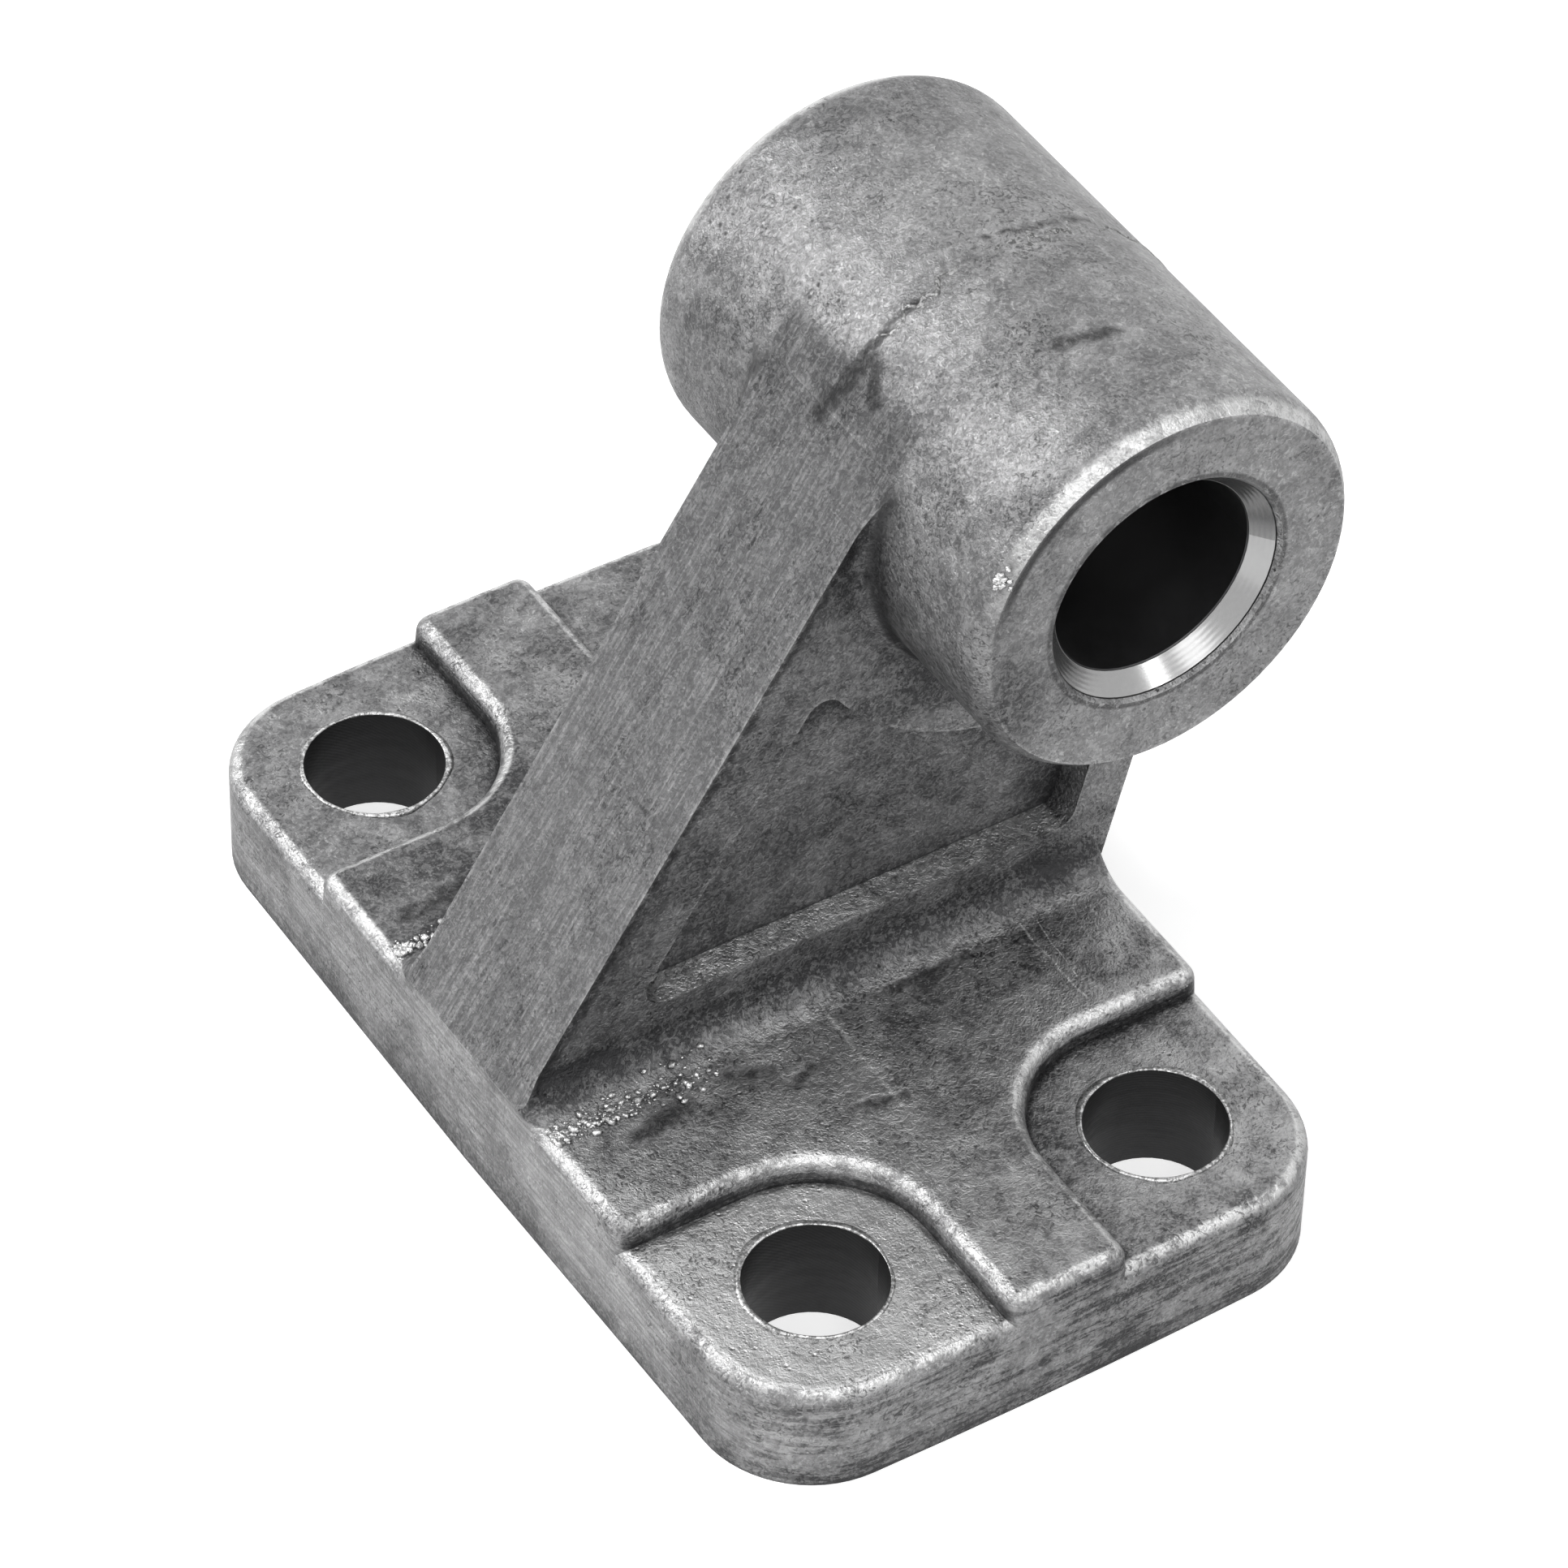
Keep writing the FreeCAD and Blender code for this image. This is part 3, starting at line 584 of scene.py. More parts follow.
def cast_texture(tree, here):
    """What the cast skin is like at a spot: grain, clouds, pits and grinding lines."""

    def patches(scale, low, high):
        return use_group(tree, "patches", Place=here, Scale=scale, From=low, To=high)["Mask"]

    def spots(scale, size, share):
        return use_group(tree, "pits", Place=here, Scale=scale, Size=size, Share=share)["Mask"]

    def lines(stretch, turn=ZERO):
        return use_group(tree, "grinding lines", Place=here, Stretch=stretch, Turn=turn)["Height"]

    flakes = noise(tree, here, 2.7, 3.0, 0.6, 1.8)
    bunches = ramp(tree, noise(tree, here, 0.22, 3.0, 0.6), 0.42, 0.62)
    down_slope = (0.0, SLOPE, 0.0)
    return SimpleNamespace(
        broad=patches(0.15, 0.44, 0.62),
        clouds=patches(0.6, 0.36, 0.66),
        grain=use_group(tree, "worms", Place=here, Scale=3.4)["Mask"],
        coarse=noise(tree, here, 1.2, 7.0, 0.78, 0.8),
        flakes=flakes,
        bunches=bunches,
        flecks=product(
            tree, ramp(tree, flakes, 0.57, 0.65), ramp(tree, bunches, 1.0, 0.0, 0.15, 1.0)
        ),
        dashes=product(
            tree, ramp(tree, flakes, 0.44, 0.39), ramp(tree, bunches, 0.0, 1.0, 0.2, 1.0)
        ),
        pits=spots(1.5, 0.2, 0.42),
        specks=spots(4.2, 0.34, 0.37),
        glints=spots(4.6, 0.36, 0.42),
        linished=lines((0.22, 6.0, 6.0), down_slope),
        streaks=lines((0.5, 1.7, 1.7), down_slope),
        ground=lines((1.0, 0.22, 6.0)),
        flow=lines((0.3, 0.3, 2.6)),
    )


def edge_masks(tree, spot, cast, reach):
    """Where the casting's edges are rubbed bright, with painted highlights on the rims, and where
    painted shade lies in its inner creases.
    """
    hollows = use_group(tree, "hollows", Reach=3.0 * MM)
    arris = use_group(tree, "edges and creases", Reach=reach, Sharp=0.1)["Mask"]
    # The sloping face meets the boss at a shallow angle, which is no edge to rub
    tangent = product(
        tree, ramp(tree, spot.along, 5.4, 4.6), ramp(tree, spot.from_pivot, 11.5, 10.5)
    )
    sharp = product(tree, arris, hollows["Open"], inverse(tree, tangent))
    # The foot's rounded rims: rubbed, and painted as a highlight that is weaker where they face
    # sideways.
    foot_rim = product(
        tree, ramp(tree, spot.up, 0.4, 0.75), ramp(tree, spot.up, 0.995, 0.93),
        ramp(tree, spot.z, PAD_Z + 0.12, PAD_Z + 0.02),
        ramp(tree, spot.sideways, 0.2, 0.6, 1.0, 0.6),
    )
    # The boss's end rounding: rubbed, and painted as a highlight that grows towards the top of the
    # boss.
    boss_rim = product(
        tree, ramp(tree, spot.endways, 0.25, 0.55), ramp(tree, spot.endways, 0.8, 0.72),
        ramp(tree, spot.from_pivot, 8.9, 9.2), ramp(tree, spot.along, 11.2, 11.8),
        ramp(tree, spot.z, 34.0, 40.0, 0.15, 1.0),
    )
    worn = ramp(tree, add_up(tree, (cast.clouds, 0.7), (cast.grain, 0.3)), 0.15, 0.7, 0.2, 1.0)
    edge = product(tree, most(tree, foot_rim, product(tree, sharp, 0.38)), worn)
    edge = most(tree, edge, product(tree, boss_rim, ramp(tree, worn, 0.0, 1.0, 0.5, 1.0)))
    scratched = product(
        tree, marks_along(tree, wander(tree, spot.here, 0.7, 0.35), SCRATCH_MARKS),
        ramp(tree, cast.grain, 0.1, 0.6, 0.55, 1.0),
    )
    return SimpleNamespace(
        edge=edge, worn=worn, scratched=scratched, shade=hollows["Mask"],
        # Painted shade in the inner creases.
        crease=product(tree, arris, inverse(tree, hollows["Open"])),
        # Painted light: the upward ledge in the recess, painted bright as if lit from above.
        lit_ledge=product(
            tree, spot.level, ramp(tree, spot.z, 9.4, 9.8), ramp(tree, spot.z, 13.5, 12.5),
            ramp(tree, spot.along, 5.0, 4.85),
        ),
    )


def corner_masks(tree, spot, cast):
    """Where dark residue lies in cracks and grooves, and where painted shade lies in sharp inner
    corners.
    """
    face = product(tree, spot.end, ramp(tree, spot.z, 20.0, 22.0))
    cracked = product(
        tree, marks_along(tree, wander(tree, spot.here, 1.6, 0.7), STAIN_MARKS),
        ramp(tree, cast.coarse, 0.38, 0.56, 0.15, 1.0),
    )
    web_edge = product(
        tree, marks_along(tree, wander(tree, spot.folded, 1.1, 0.9), WEB_EDGE_MARKS),
        ramp(tree, cast.coarse, 0.38, 0.5), inverse(tree, spot.slope),
    )
    outer_groove = product(
        tree, beside(tree, spot.from_pivot, 8.95, 0.42, 0.08), face,
        ramp(tree, spot.x, 15.0, 9.0), ramp(tree, spot.z, 33.0, 36.0),
    )
    inner_groove = product(
        tree, beside(tree, spot.from_pivot, 6.04, 0.28, 0.12), face,
        ramp(tree, cast.coarse, 0.42, 0.52), 0.8,
    )
    # Painted shade in the crease where the web meets the boss, broken up by noise.
    root = product(
        tree, beside(tree, spot.from_pivot, BOSS_RADIUS + 0.15, 0.35, 0.05),
        inverse(tree, spot.slope), ramp(tree, spot.along, 6.3, 5.4),
        ramp(tree, spot.along, 4.6, 4.8), ramp(tree, spot.z, 37.0, 35.0),
        ramp(tree, cast.coarse, 0.3, 0.44),
    )
    # Painted shade in the corner at the foot of each seat wall.
    seat_foot = product(
        tree, spot.seat_wall, ramp(tree, spot.z, 6.4, 6.0),
        ramp(tree, spot.z, SEAT_Z - 0.1, SEAT_Z - 0.02),
    )
    groove = most(tree, outer_groove, inner_groove)
    return SimpleNamespace(
        face=face, cracked=cracked, web_edge=web_edge, groove=groove, root=root, seat_foot=seat_foot
    )


def stain_and_shade_masks(tree, spot, cast, edges, face):
    """How stained a spot is, with painted shade in its hollows, creases and shut-in places, and
    where blots make it darker still.
    """
    grey = inverse(tree, cast.clouds)
    off_slope = inverse(tree, spot.slope)
    flow_lines = product(
        tree, ramp(tree, cast.flow, 0.48, 0.56), spot.skirt, inverse(tree, spot.side)
    )
    stain_and_shade = add_up(
        tree,
        # Painted shade: the pad near the web, the level faces and skirt at the rear, the +X level
        # faces, the web's sides and root, the hollows and the creases are darkened as shade would
        # darken them. The broad patches, grey clouds, slope, boss, end face and flow lines are
        # stain and tone of the skin.
        (product(tree, spot.pad, ramp(tree, spot.along, 12.0, 6.5)), 0.06),
        (product(tree, spot.level, spot.rear, spot.low), 0.08),
        (product(tree, spot.pad, spot.rear, ramp(tree, spot.along, 19.0, 14.0)), 0.36),
        (product(tree, spot.level, spot.low, ramp(tree, spot.x, 0.0, 9.0)), 0.12),
        (spot.web, 0.34),
        (spot.web_root, 0.42),
        (spot.skirt, 0.14),
        (edges.shade, 0.5),
        (product(tree, cast.broad, off_slope), 0.3),
        (grey, 0.13),
        (product(tree, grey, spot.level, spot.low), 0.22),
        (edges.crease, 0.5),
        (spot.slope, 0.46),
        (product(tree, spot.slope, ramp(tree, spot.z, 14.0, 32.0)), 0.08),
        (spot.boss, 0.12),
        (product(tree, spot.boss, ramp(tree, spot.x, 7.5, 3.5), off_slope), 0.22),
        (product(tree, spot.skirt, spot.rear), 0.12),
        (face, 0.06),
        (flow_lines, 0.42),
    )
    # Painted light: the ledge in the recess and the near left seat are kept clear of stain and
    # shade, as if lit.
    lit_and_clean = most(tree, product(tree, edges.lit_ledge, 0.9), product(tree, spot.bright_seat, 0.7))
    stain_and_shade = product(tree, stain_and_shade, ramp(tree, cast.grain, 0.0, 1.0, 1.2, 0.8), inverse(tree, lit_and_clean))
    mottled = ramp(tree, cast.coarse, 0.54, 0.66)
    streaked = ramp(tree, cast.streaks, 0.52, 0.64)
    blots = product(
        tree, over(tree, spot.slope, mottled, streaked),
        ramp(tree, cast.bunches, 0.0, 1.0, 0.3, 1.0),
        ramp(tree, cast.grain, 0.0, 1.0, 1.0, 0.6),
    )
    stain_and_shade = most(tree, stain_and_shade, add_up(tree, (stain_and_shade, 0.55), (blots, 0.75)))
    return arithmetic(tree, "MINIMUM", stain_and_shade, 1.0), blots


def brightness(tree, spot, cast, lines, lined):
    """How bright the bare skin is, from the plain skin at 0 to its brighter grain at 1, with
    painted light on the level faces at the front and on the near left seat.
    """
    calm = ramp(tree, spot.slope, 0.0, 1.0, 1.0, 0.5)
    bright = add_up(
        tree,
        (product(tree, cast.grain, ramp(tree, lined, 0.0, 1.0, 1.0, 0.4)), 0.3),
        (product(tree, cast.flecks, calm), 0.7),
        (product(tree, cast.clouds, calm), 0.28),
        (cast.glints, 0.8),
        # Painted light: the level faces at the front and the near left seat are made lighter, as
        # the light falls there.
        (product(tree, spot.level, spot.low, inverse(tree, spot.rear)), 0.7),
        (spot.bright_seat, 0.5),
        (spot.skirt, 0.15),
        (arithmetic(tree, "SUBTRACT", lines, 0.5), 3.6),
    )
    return most(tree, bright, 0.0)


def machined_masks(tree, spot):
    """Where the casting is bored, drilled and turned."""
    mouth = product(
        tree, ramp(tree, spot.from_pivot, TURNED_RADIUS + 0.04, TURNED_RADIUS - 0.01),
        ramp(tree, spot.from_pivot, BORE_RADIUS + 0.03, BORE_RADIUS + 0.06),
    )
    return SimpleNamespace(
        bored=ramp(tree, spot.from_pivot, BORE_RADIUS + 0.08, BORE_RADIUS + 0.03),
        drilled=product(
            tree, ramp(tree, spot.from_hole, HOLE_RADIUS + 0.06, HOLE_RADIUS + 0.01), spot.low
        ),
        turned=product(tree, mouth, inverse(tree, ramp(tree, spot.endways, 0.97, 0.99))),
    )


def relief_height(tree, spot, cast, corners, machined, lines, lined):
    """Height of the skin's unevenness, and faint turning rings where it is machined."""
    height = add_up(
        tree,
        (noise(tree, spot.here, 1.3), 1.5),
        (noise(tree, spot.here, 6.5, 3.0, 0.6), 0.35),
        (product(tree, cast.flakes, ramp(tree, spot.bright_seat, 0.0, 1.0, 1.0, 0.5)), 1.2),
        (cast.grain, 0.1),
        (cast.pits, -1.4),
        (cast.specks, -0.4),
        (cast.glints, 0.4),
        (product(tree, lines, lined), 1.4),
        (product(tree, cast.flow, spot.skirt, inverse(tree, spot.side)), 2.4),
        (corners.cracked, -1.6),
        (corners.groove, -1.2),
        (corners.root, -1.5),
    )
    rings = arithmetic(tree, "SINE", arithmetic(tree, "MULTIPLY", spot.from_pivot, 40.0))
    smooth = most(tree, machined.turned, machined.bored, machined.drilled)
    return over(tree, smooth, height, arithmetic(tree, "MULTIPLY", rings, 0.02))


def casting_material(finish):
    """Cast aluminium with stain and painted shade in its hollows, edges rubbed bright with painted
    highlights, ground sides and a bored hole.
    """
    material, tree, shader = new_material("cast aluminium")
    spot = casting_places(tree)
    cast = cast_texture(tree, spot.here)
    edges = edge_masks(tree, spot, cast, finish.edge_reach)
    corners = corner_masks(tree, spot, cast)
    machined = machined_masks(tree, spot)
    stain_and_shade, blots = stain_and_shade_masks(tree, spot, cast, edges, corners.face)
    # Residue in pits, specks, cracks, dashes and grooves, and painted shade in the inner corners at
    # the root of the boss and the feet of the seat walls.
    grime_and_crease_shade = most(
        tree, product(tree, cast.pits, 0.8), product(tree, cast.specks, 0.5), corners.cracked,
        product(tree, cast.dashes, 0.75), corners.web_edge, corners.groove, corners.root,
        product(tree, corners.seat_foot, ramp(tree, cast.coarse, 0.3, 0.55, 0.2, 0.8)),
    )
    # The near left seat, rubbed smooth and painted lighter as if lit from the front left.
    polished_and_lit = product(
        tree, spot.bright_seat, ramp(tree, cast.clouds, 0.0, 1.0, 0.7, 1.0), inverse(tree, blots)
    )
    # Painted light on the ledge in the recess, broken up like wear.
    lit_ledge = product(tree, edges.lit_ledge, edges.worn, 0.5)
    # Rubbed wear and scratches, with painted highlights on the rims, the lit ledge and the near
    # left seat.
    rub_and_highlight = most(tree, edges.edge, edges.scratched, lit_ledge, polished_and_lit)

    lined = most(tree, spot.side, spot.slope)
    lines = over(tree, spot.slope, over(tree, spot.side, 0.5, cast.ground), cast.linished)
    bright = brightness(tree, spot, cast, lines, lined)
    skin = blend_colour(tree, bright, colour(finish.skin), colour(finish.bright))
    for share, shade in (
        (stain_and_shade, finish.stain_and_shade),
        (product(tree, rub_and_highlight, 0.85), finish.wear_and_highlight),
        (product(tree, grime_and_crease_shade, 0.85), finish.grime_and_crease_shade),
        (machined.bored, finish.bored),
        (machined.drilled, finish.drilled),
        (product(tree, machined.turned, 0.9), finish.turned),
    ):
        skin = blend_colour(tree, share, skin, colour(shade))
    wire(tree, skin, shader["Base Color"])

    rough = add_up(tree, (cast.clouds, 0.06), (stain_and_shade, 0.16), (cast.grain, 0.06), (edges.edge, -0.1))
    rough = over(tree, machined.turned, arithmetic(tree, "ADD", rough, 0.34), 0.22)
    wire(tree, rough, shader["Roughness"])
    shader["Metallic"].default_value = 0.88

    height = relief_height(tree, spot, cast, corners, machined, lines, lined)
    wire(tree, bump(tree, height, finish.relief), shader["Normal"])
    return material


def trace_material(name, dark, light, roughness):
    """Rough metal of a small trace, mottled between two colours."""
    material, tree, shader = new_material(name)
    here = use_group(tree, "place in mm")["Place"]
    mottle = use_group(tree, "worms", Place=here, Scale=4.0)["Mask"]
    wire(tree, blend_colour(tree, mottle, colour(dark), colour(light)), shader["Base Color"])
    rough = arithmetic(tree, "MULTIPLY_ADD", mottle, -0.1, roughness)
    wire(tree, rough, shader["Roughness"])
    shader["Metallic"].default_value = 0.8
    wire(tree, bump(tree, noise(tree, here, 8.0, 3.0), 0.03 * MM), shader["Normal"])
    return material


# Surfaces


def ripple(angle, seed, waves=9, roughness=1.0):
    """Waves of random size and phase added up, from -1 to 1 or so; closed over a full turn."""
    dice = np.random.default_rng(seed)
    count = np.arange(1, waves + 1)
    size = dice.normal(size=waves) / count**roughness
    phase = dice.uniform(0.0, 2.0 * np.pi, waves)
    waving = np.sin(np.outer(angle, count) + phase) @ size
    return waving / np.abs(size).sum() * 2.0


def add_piece(name, places, faces, material):
    """A piece from its points and faces: faces outward, smooth, riding on the casting's body."""
    mesh = bpy.data.meshes.new(name)
    mesh.from_pydata(places.reshape(-1, 3).tolist(), [], faces)
    work = bmesh.new()
    work.from_mesh(mesh)
    bmesh.ops.recalc_face_normals(work, faces=work.faces)
    work.to_mesh(mesh)
    work.free()
    mesh.polygons.foreach_set("use_smooth", np.ones(len(mesh.polygons), bool))
    mesh.materials.append(material)
    piece = bpy.data.objects.new(name, mesh)
    bpy.context.scene.collection.objects.link(piece)
    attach(piece, BODY)


def solid_of_rings(name, rings, closed, material):
    """A closed skin over rings of points, shape (rings, points, 3).

    Neighbouring rings are joined by quads; the last ring joins the first where the run is closed,
    and otherwise each end gets a cap."""
    turns, points = rings.shape[:2]
    here = np.arange(turns if closed else turns - 1)[:, None] * points
    there = (here + points) % (turns * points)
    spot = np.arange(points)[None, :]
    after = (spot + 1) % points
    quads = np.stack([here + spot, here + after, there + after, there + spot], axis=-1)
    faces = quads.reshape(-1, 4).tolist()
    if not closed:
        faces.append(np.arange(points)[::-1].tolist())
        faces.append(((turns - 1) * points + np.arange(points)).tolist())
    add_piece(name, rings, faces, material)


def seam_rings(traces, start, stop, middle, seed):
    """The parting seam: a low ridge along an arc round the boss.

    Angle runs round the pivot from straight up, positive towards the sloping face. Across the
    seam the height is (1 - t squared) squared, t from -1 to 1; along it the height and the
    place waver, and both ends fade into the skin. The ridge stays under the top of the boss."""
    steps = 90
    boss, (axis_x, _, axis_z) = BOSS_RADIUS * MM, PIVOT
    turn = np.radians(np.linspace(start, stop, steps))[:, None]
    run = np.linspace(0.0, 1.0, steps)
    once = run * 2.0 * np.pi
    fade = np.sin(np.pi * run) ** 0.6
    height = traces.seam_height * (0.55 + 0.45 * ripple(once, seed, 14, 0.5)) * fade
    half = traces.seam_width * (0.7 + 0.3 * ripple(once, seed + 1, 12, 0.4)) * (0.35 + 0.65 * fade)
    place = middle + 0.35 * MM * ripple(once, seed + 2, 6, 1.0)
    roof = boss / np.maximum(np.cos(turn[:, 0]), 0.2) - boss
    height = np.minimum(height, roof - 0.004 * MM)
    t = np.linspace(-1.0, 1.0, 7)[None, :]
    crest = height[:, None] * (1.0 - t**2) ** 2 - 0.01 * MM * np.abs(t) ** 3
    depth = np.concatenate([crest, np.full((steps, 2), -0.08 * MM)], axis=1)
    under = half[:, None] * np.array([[0.6, -0.6]])
    across = np.concatenate([t * half[:, None], under], axis=1)
    reach = boss + depth
    x = axis_x * MM - reach * np.sin(turn)
    z = axis_z * MM + reach * np.cos(turn)
    return np.stack([x, place[:, None] + across, z], axis=-1)


def burr_rings(traces, centre_x, centre_y, seed):
    """The burr round a screw hole: a low uneven lip on the seat.

    Round the hole, angle by angle, a five-cornered profile stands on the rim of the hole; its
    height and width waver with the angle."""
    turn = np.linspace(0.0, 2.0 * np.pi, 120, endpoint=False)
    height = traces.burr_height * np.clip(0.6 + 0.5 * ripple(turn, seed, 16, 0.5), 0.15, 1.1)
    width = traces.burr_width * np.clip(0.7 + 0.35 * ripple(turn, seed + 1, 12, 0.6), 0.3, 1.1)
    share = np.array([0.0, 0.0, 0.3, 1.0, 0.5])[None, :]
    lift = np.array([-0.5, 0.75, 1.0, -0.15, -0.6])[None, :]
    radius = HOLE_RADIUS * MM + 0.004 * MM + width[:, None] * share
    x = centre_x + radius * np.cos(turn)[:, None]
    y = centre_y + radius * np.sin(turn)[:, None]
    return np.stack([x, y, SEAT_Z * MM + height[:, None] * lift], axis=-1)


def toe_crumbs(size, count, dice):
    """Places and sizes of the crumbs in the root of the web, at each toe, in millimetres.

    Each lies on the pad or on the root fillet, whose height over the pad is
    r - sqrt(r squared - d squared), d in from the edge of the fillet."""
    root, edge, toe_x = 2.1, 6.9, -15.0
    x = toe_x + 8.5 * dice.random(count) ** 2.6
    y = edge - 0.1 + 0.55 * dice.normal(size=count) * (0.4 + 0.1 * (x - toe_x))
    y = np.clip(y, edge - 1.2, edge + 1.2)
    inward = np.clip(edge - y, 0.0, root)
    z = PAD_Z + root - np.sqrt(root**2 - inward**2)
    sizes = size * (0.2 + 0.8 * dice.random(count) ** 3)
    side = np.where(dice.random(count) < 0.75, -1.0, 1.0)
    return np.stack([x, y * side, z + sizes * 0.25], axis=1), sizes


def nick_crumbs(size, count, dice):
    """Places and sizes of the crumbs at the nick in the rim of the boss, in millimetres.

    They lie on the end rounding: across the boss its surface runs along a circle of radius 2
    round a ring of radius 7.8 that is 11.786 out from the middle."""
    rounding, ring, out = 2.0, 7.8, 11.786
    turn = np.radians(62.5) + 0.028 * dice.normal(size=count)
    reach = 9.25 + 0.42 * dice.random(count)
    y = -out - np.sqrt(rounding**2 - (reach - ring) ** 2)
    sizes = size * (0.35 + 0.65 * dice.random(count))
    x, _, z = PIVOT
    return np.stack([x - reach * np.sin(turn), y, z + reach * np.cos(turn)], axis=1), sizes


def crumb_piece(name, centre, size, dice, material):
    """Crumbs of metal at the places given, in millimetres.

    Each crumb is a ball with ripples, a little flattened: radius = size times (1 + 0.35 times
    the sine of twice one angle times the sine of twice the other), each turned its own way."""
    count, rows, columns, flat = len(size), 7, 4, 0.7
    around = np.linspace(0.0, 2.0 * np.pi, rows, endpoint=False)[None, :, None]
    down = np.linspace(0.0, np.pi, columns + 2)[1:-1][None, None, :]
    tilt = dice.uniform(0.0, 6.0, (count, 3))[:, :, None, None]
    wave = 1.0 + 0.35 * np.sin(2.0 * around + tilt[:, 0]) * np.sin(down * 2.0 + tilt[:, 1])
    radius = size[:, None, None] * wave
    out, turn = radius * np.sin(down), around + tilt[:, 2]
    rise = radius * np.cos(down) * flat
    shell = np.stack([out * np.cos(turn), out * np.sin(turn), rise], axis=-1).reshape(count, -1, 3)
    poles = np.zeros((count, 2, 3))
    poles[:, :, 2] = size[:, None] * np.array([flat, -flat])
    places = (np.concatenate([shell, poles], axis=1) + centre[:, None, :]) * MM
    first = np.arange(rows) * columns
    second = (first + columns) % (rows * columns)
    j = np.arange(columns - 1)[None, :]
    low, high = first[:, None] + j, second[:, None] + j
    quads = np.stack([low, low + 1, high + 1, high], axis=-1).reshape(-1, 4)
    top = np.full(rows, rows * columns)
    caps = np.stack([[top, first, second], [top + 1, second + columns - 1, first + columns - 1]])
    caps = caps.transpose(0, 2, 1).reshape(-1, 3)
    shift = (np.arange(count) * (rows * columns + 2))[:, None, None]
    faces = (quads + shift).reshape(-1, 4).tolist() + (caps + shift).reshape(-1, 3).tolist()
    add_piece(name, places, faces, material)


# Pieces


class BRACKET_OT_groups(bpy.types.Operator):
    """Makes the shader node groups that the finishes share"""

    bl_idname = "bracket.groups"
    bl_label = "Shared effects"

    def execute(self, context):
        for make in SHARED_EFFECTS:
            make()
        return {"FINISHED"}


class BRACKET_OT_casting(bpy.types.Operator):
    """Gives the casting its cast, stained and rubbed finish, with painted shade and painted
    highlights
    """

    bl_idname = "bracket.casting"
    bl_label = "Casting finish"

    def execute(self, context):
        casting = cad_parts.get(CASTING)
        if casting is None:
            raise RuntimeError("the frame has no casting")
        material = casting_material(context.scene.bracket_finish)
        casting.data.materials.clear()
        casting.data.materials.append(material)
        return {"FINISHED"}


class BRACKET_OT_seam(bpy.types.Operator):
    """Lays the broken parting seam over the boss"""

    bl_idname = "bracket.seam"
    bl_label = "Parting seam"

    def execute(self, context):
        traces = context.scene.bracket_traces
        material = trace_material("seam metal", (0.1, 0.1, 0.1), (0.34, 0.34, 0.34), 0.55)
        for number, (name, start, stop, middle) in enumerate(SEAM_RUNS):
            rings = seam_rings(traces, start, stop, middle * MM, 11 + 5 * number)
            solid_of_rings(name, rings, False, material)
        return {"FINISHED"}


class BRACKET_OT_burrs(bpy.types.Operator):
    """Stands a thin bright burr round each screw hole"""

    bl_idname = "bracket.burrs"
    bl_label = "Hole burrs"

    def execute(self, context):
        traces = context.scene.bracket_traces
        material = trace_material("burr metal", (0.22, 0.22, 0.22), (0.7, 0.7, 0.7), 0.42)
        holes = ((-HOLE_X, -HOLE_Y), (HOLE_X, -HOLE_Y), (-HOLE_X, HOLE_Y), (HOLE_X, HOLE_Y))
        for number, (x, y) in enumerate(holes, 1):
            rings = burr_rings(traces, x * MM, y * MM, 40 + 3 * number)
            solid_of_rings(f"hole_burr_{number}", rings, True, material)
        return {"FINISHED"}


class BRACKET_OT_crumbs(bpy.types.Operator):
    """Scatters crumbs of metal at the web toes and at the nick in the rim of the boss"""

    bl_idname = "bracket.crumbs"
    bl_label = "Crumbs of metal"

    def execute(self, context):
        traces = context.scene.bracket_traces
        size = traces.crumb_size / MM
        material = trace_material("crumb metal", (0.3, 0.3, 0.3), (0.8, 0.8, 0.8), 0.36)
        if traces.crumbs:
            dice = np.random.default_rng(7)
            toes = toe_crumbs(size, 2 * traces.crumbs, dice)
            crumb_piece("web_toe_crumbs", *toes, dice, material)
            dice = np.random.default_rng(23)
            crumb_piece("rim_nick_crumbs", *nick_crumbs(size, 16, dice), dice, material)
        return {"FINISHED"}


# Setting


def heading(azimuth, elevation):
    """The direction from the bracket to a place at that azimuth and elevation."""
    flat = math.cos(elevation)
    return Vector((math.sin(azimuth) * flat, -math.cos(azimuth) * flat, math.sin(elevation)))


def soft_lamp(name, azimuth, elevation, distance, size, power):
    """A square area lamp that looks at the middle of the bracket."""
    data = bpy.data.lights.new(name, "AREA")
    data.shape = "SQUARE"
    data.size = size
    data.energy = power
    lamp = bpy.data.objects.new(name, data)
    away = heading(math.radians(azimuth), math.radians(elevation)).normalized()
    lamp.location = (CAD_LOW + CAD_HIGH) / 2 + away * distance
    lamp.rotation_euler = away.to_track_quat("Z", "Y").to_euler()
    bpy.context.scene.collection.objects.link(lamp)


def make_camera(setting):
    """The camera of the photograph, from its turn, height, distance, aim and roll."""
    azimuth, roll = setting.eye_azimuth, setting.eye_roll
    back = heading(azimuth, setting.eye_elevation)
    flat = Vector((math.cos(azimuth), math.sin(azimuth), 0.0))
    upright = back.cross(flat)
    right = flat * math.cos(roll) + upright * math.sin(roll)
    up = upright * math.cos(roll) - flat * math.sin(roll)
    data = bpy.data.cameras.new("camera")
    data.lens = setting.lens
    data.sensor_width = 36.0
    data.clip_start = 0.01
    data.clip_end = 10.0
    camera = bpy.data.objects.new("camera", data)
    matrix = Matrix((right, up, back)).transposed().to_4x4()
    matrix.translation = Vector(setting.eye_aim) + back * setting.eye_distance
    camera.matrix_world = matrix
    bpy.context.scene.collection.objects.link(camera)
    bpy.context.scene.camera = camera


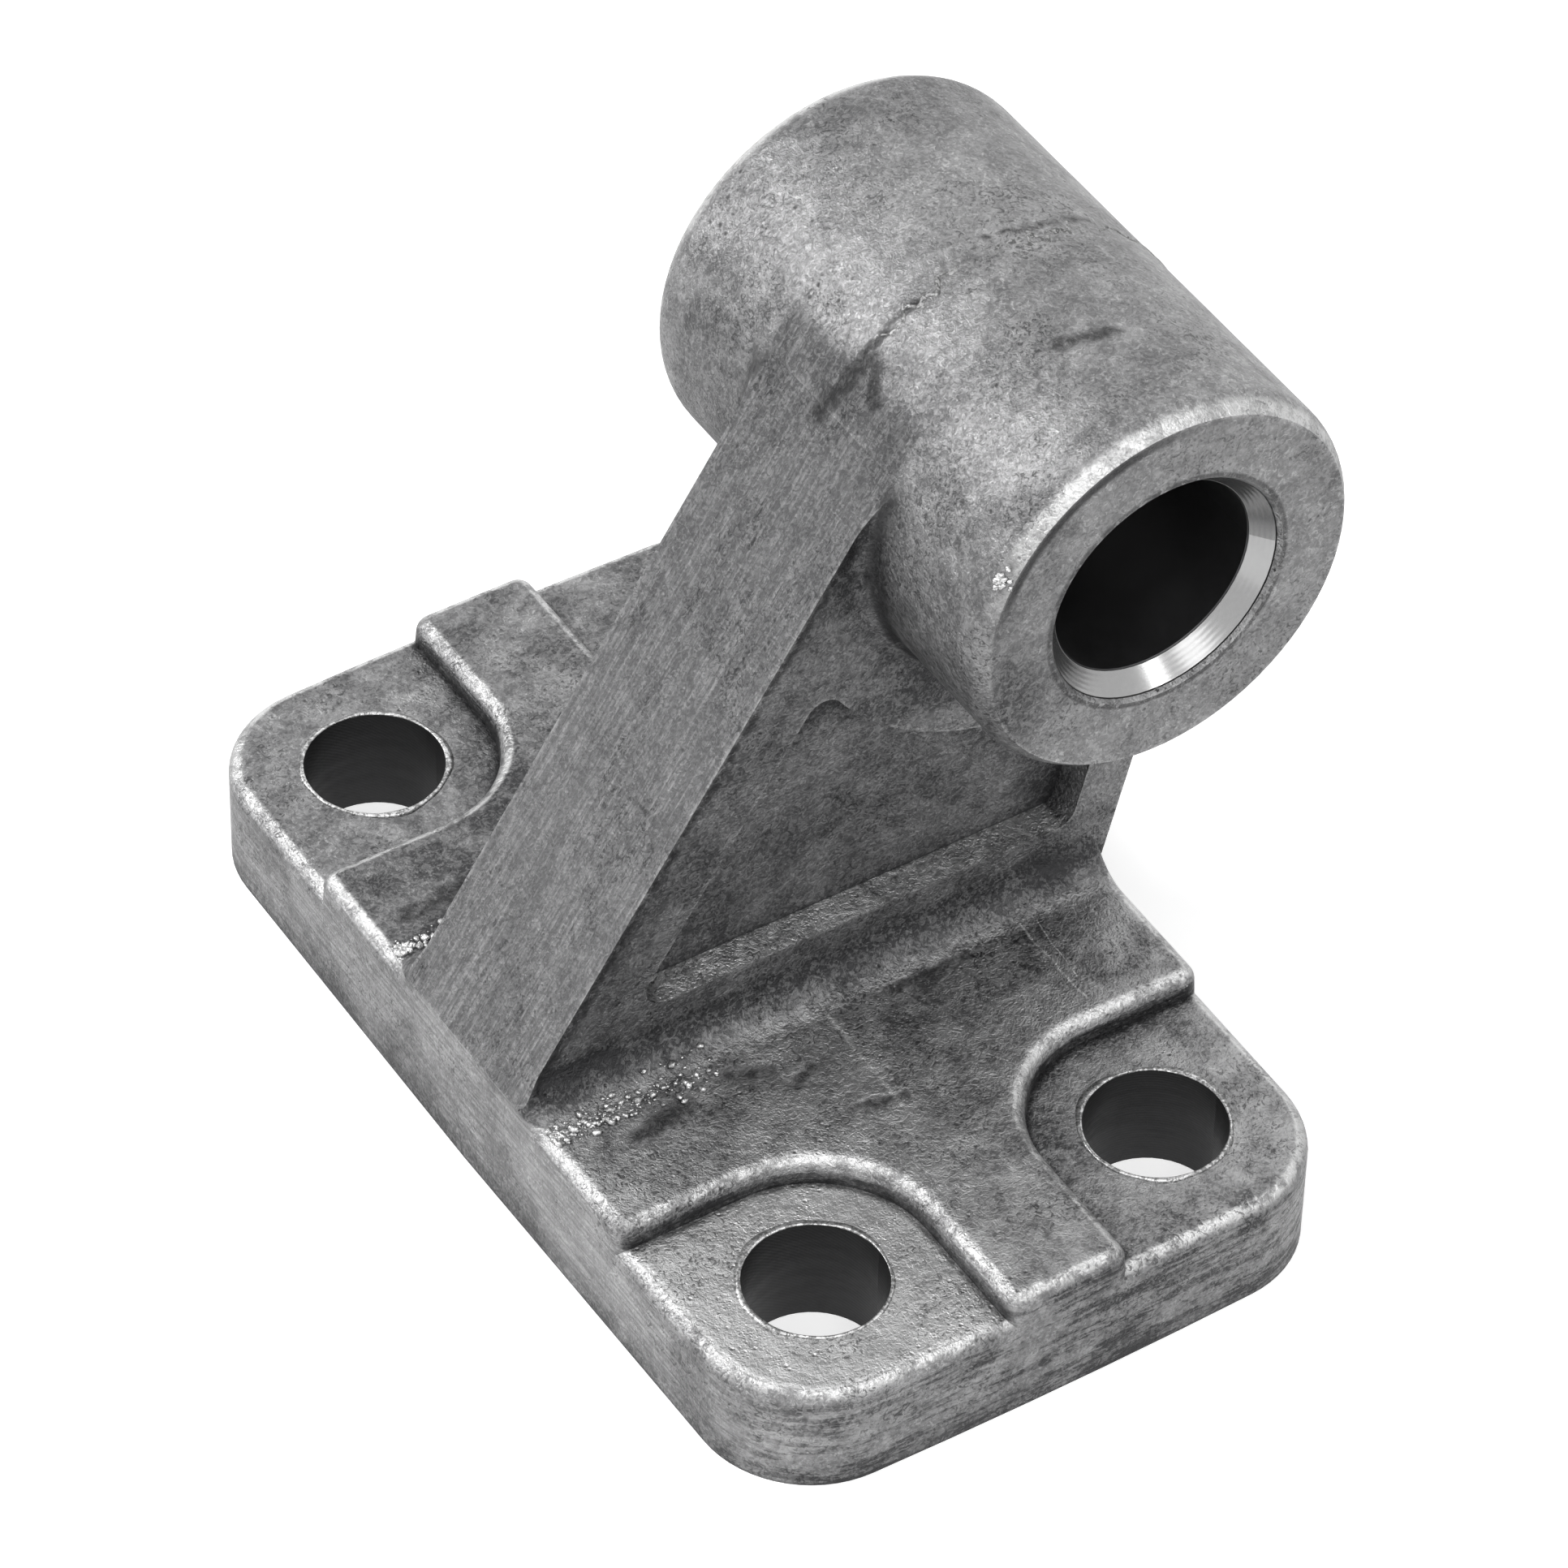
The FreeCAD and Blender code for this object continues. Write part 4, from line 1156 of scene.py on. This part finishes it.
def seen_rays(tree):
    """Where the eye sees a thing straight, in gloss or through glass."""
    rays = add_node(tree, "ShaderNodeLightPath").outputs
    return most(tree, rays["Is Camera Ray"], rays["Is Glossy Ray"], rays["Is Transmission Ray"])


def make_floor(setting):
    """A plain square floor under the foot, shown near white and still taking the shadow."""
    points = 9
    line = np.linspace(-setting.floor_half, setting.floor_half, points)
    across, along = np.meshgrid(line, line)
    places = np.stack([across.ravel(), along.ravel(), np.zeros(across.size)], axis=1)
    cells = np.arange(points - 1)
    first = (cells[:, None] * points + cells[None, :]).ravel()
    faces = np.stack([first, first + 1, first + points + 1, first + points], axis=1)
    mesh = bpy.data.meshes.new("floor")
    mesh.from_pydata(places.tolist(), [], faces.tolist())
    floor = bpy.data.objects.new("floor", mesh)
    bpy.context.scene.collection.objects.link(floor)
    material, tree, shader = new_material("pale floor")
    shader["Base Color"].default_value = colour(setting.floor_colour)
    shader["Roughness"].default_value = 0.9
    shader["Specular IOR Level"].default_value = 0.1
    shader["Emission Color"].default_value = (1.0, 1.0, 1.0, 1.0)
    glow = arithmetic(tree, "MULTIPLY", seen_rays(tree), 0.5)
    wire(tree, glow, shader["Emission Strength"])
    mesh.materials.append(material)


def make_world():
    """White where the eye, gloss or glass sees it, and a soft grey sky for the light."""
    world = bpy.data.worlds.new("studio")
    bpy.context.scene.world = world
    world.use_nodes = True
    tree = world.node_tree
    tree.nodes.clear()
    coords = add_node(tree, "ShaderNodeTexCoord").outputs["Generated"]
    glow = ramp(tree, split(tree, coords)[2], 0.0, 0.8, 1.0, 0.45)
    sky = add_node(tree, "ShaderNodeBackground")
    wire(tree, arithmetic(tree, "MULTIPLY", glow, 0.64), sky.inputs["Strength"])
    white = add_node(tree, "ShaderNodeBackground")
    white.inputs["Color"].default_value = (1.0, 1.0, 1.0, 1.0)
    white.inputs["Strength"].default_value = 1.0
    mix = add_node(tree, "ShaderNodeMixShader")
    wire(tree, seen_rays(tree), mix.inputs[0])
    wire(tree, sky.outputs[0], mix.inputs[1])
    wire(tree, white.outputs[0], mix.inputs[2])
    wire(tree, mix.outputs[0], add_node(tree, "ShaderNodeOutputWorld").inputs["Surface"])


class BRACKET_OT_setting(bpy.types.Operator):
    """Sets up the floor, the soft lamps, the surroundings and the camera"""

    bl_idname = "bracket.setting"
    bl_label = "Floor, light and camera"

    def execute(self, context):
        scene = context.scene
        scene.view_settings.view_transform = "Standard"
        make_camera(scene.bracket_setting)
        make_floor(scene.bracket_setting)
        make_world()
        for lamp in LAMPS:
            soft_lamp(*lamp)
        return {"FINISHED"}


class BRACKET_PT_panel(bpy.types.Panel):
    """The settings and pieces of the bracket."""

    bl_idname = "BRACKET_PT_panel"
    bl_label = "Counter bracket"
    bl_space_type = "VIEW_3D"
    bl_region_type = "UI"
    bl_category = "Bracket"

    def draw(self, context):
        for title, settings in (
            ("Finish", context.scene.bracket_finish),
            ("Casting traces", context.scene.bracket_traces),
            ("Setting", context.scene.bracket_setting),
        ):
            box = self.layout.box()
            box.label(text=title)
            for name in settings.__annotations__:
                box.prop(settings, name)
        for step in STEPS:
            self.layout.operator(step.bl_idname)


STEPS = (
    BRACKET_OT_groups,
    BRACKET_OT_casting,
    BRACKET_OT_seam,
    BRACKET_OT_burrs,
    BRACKET_OT_crumbs,
    BRACKET_OT_setting,
)
CLASSES = (BRACKET_PG_finish, BRACKET_PG_traces, BRACKET_PG_setting, *STEPS, BRACKET_PT_panel)


def register():
    """Adds the classes and their settings."""
    for item in CLASSES:
        bpy.utils.register_class(item)
    bpy.types.Scene.bracket_finish = bpy.props.PointerProperty(type=BRACKET_PG_finish)
    bpy.types.Scene.bracket_traces = bpy.props.PointerProperty(type=BRACKET_PG_traces)
    bpy.types.Scene.bracket_setting = bpy.props.PointerProperty(type=BRACKET_PG_setting)


def unregister():
    """Takes the classes and their settings away."""
    del bpy.types.Scene.bracket_setting
    del bpy.types.Scene.bracket_traces
    del bpy.types.Scene.bracket_finish
    for item in reversed(CLASSES):
        bpy.utils.unregister_class(item)


def main():
    """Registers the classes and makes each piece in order."""
    register()
    bpy.ops.bracket.groups()
    bpy.ops.bracket.casting()
    bpy.ops.bracket.seam()
    bpy.ops.bracket.burrs()
    bpy.ops.bracket.crumbs()
    bpy.ops.bracket.setting()


if __name__ == "__main__":
    main()
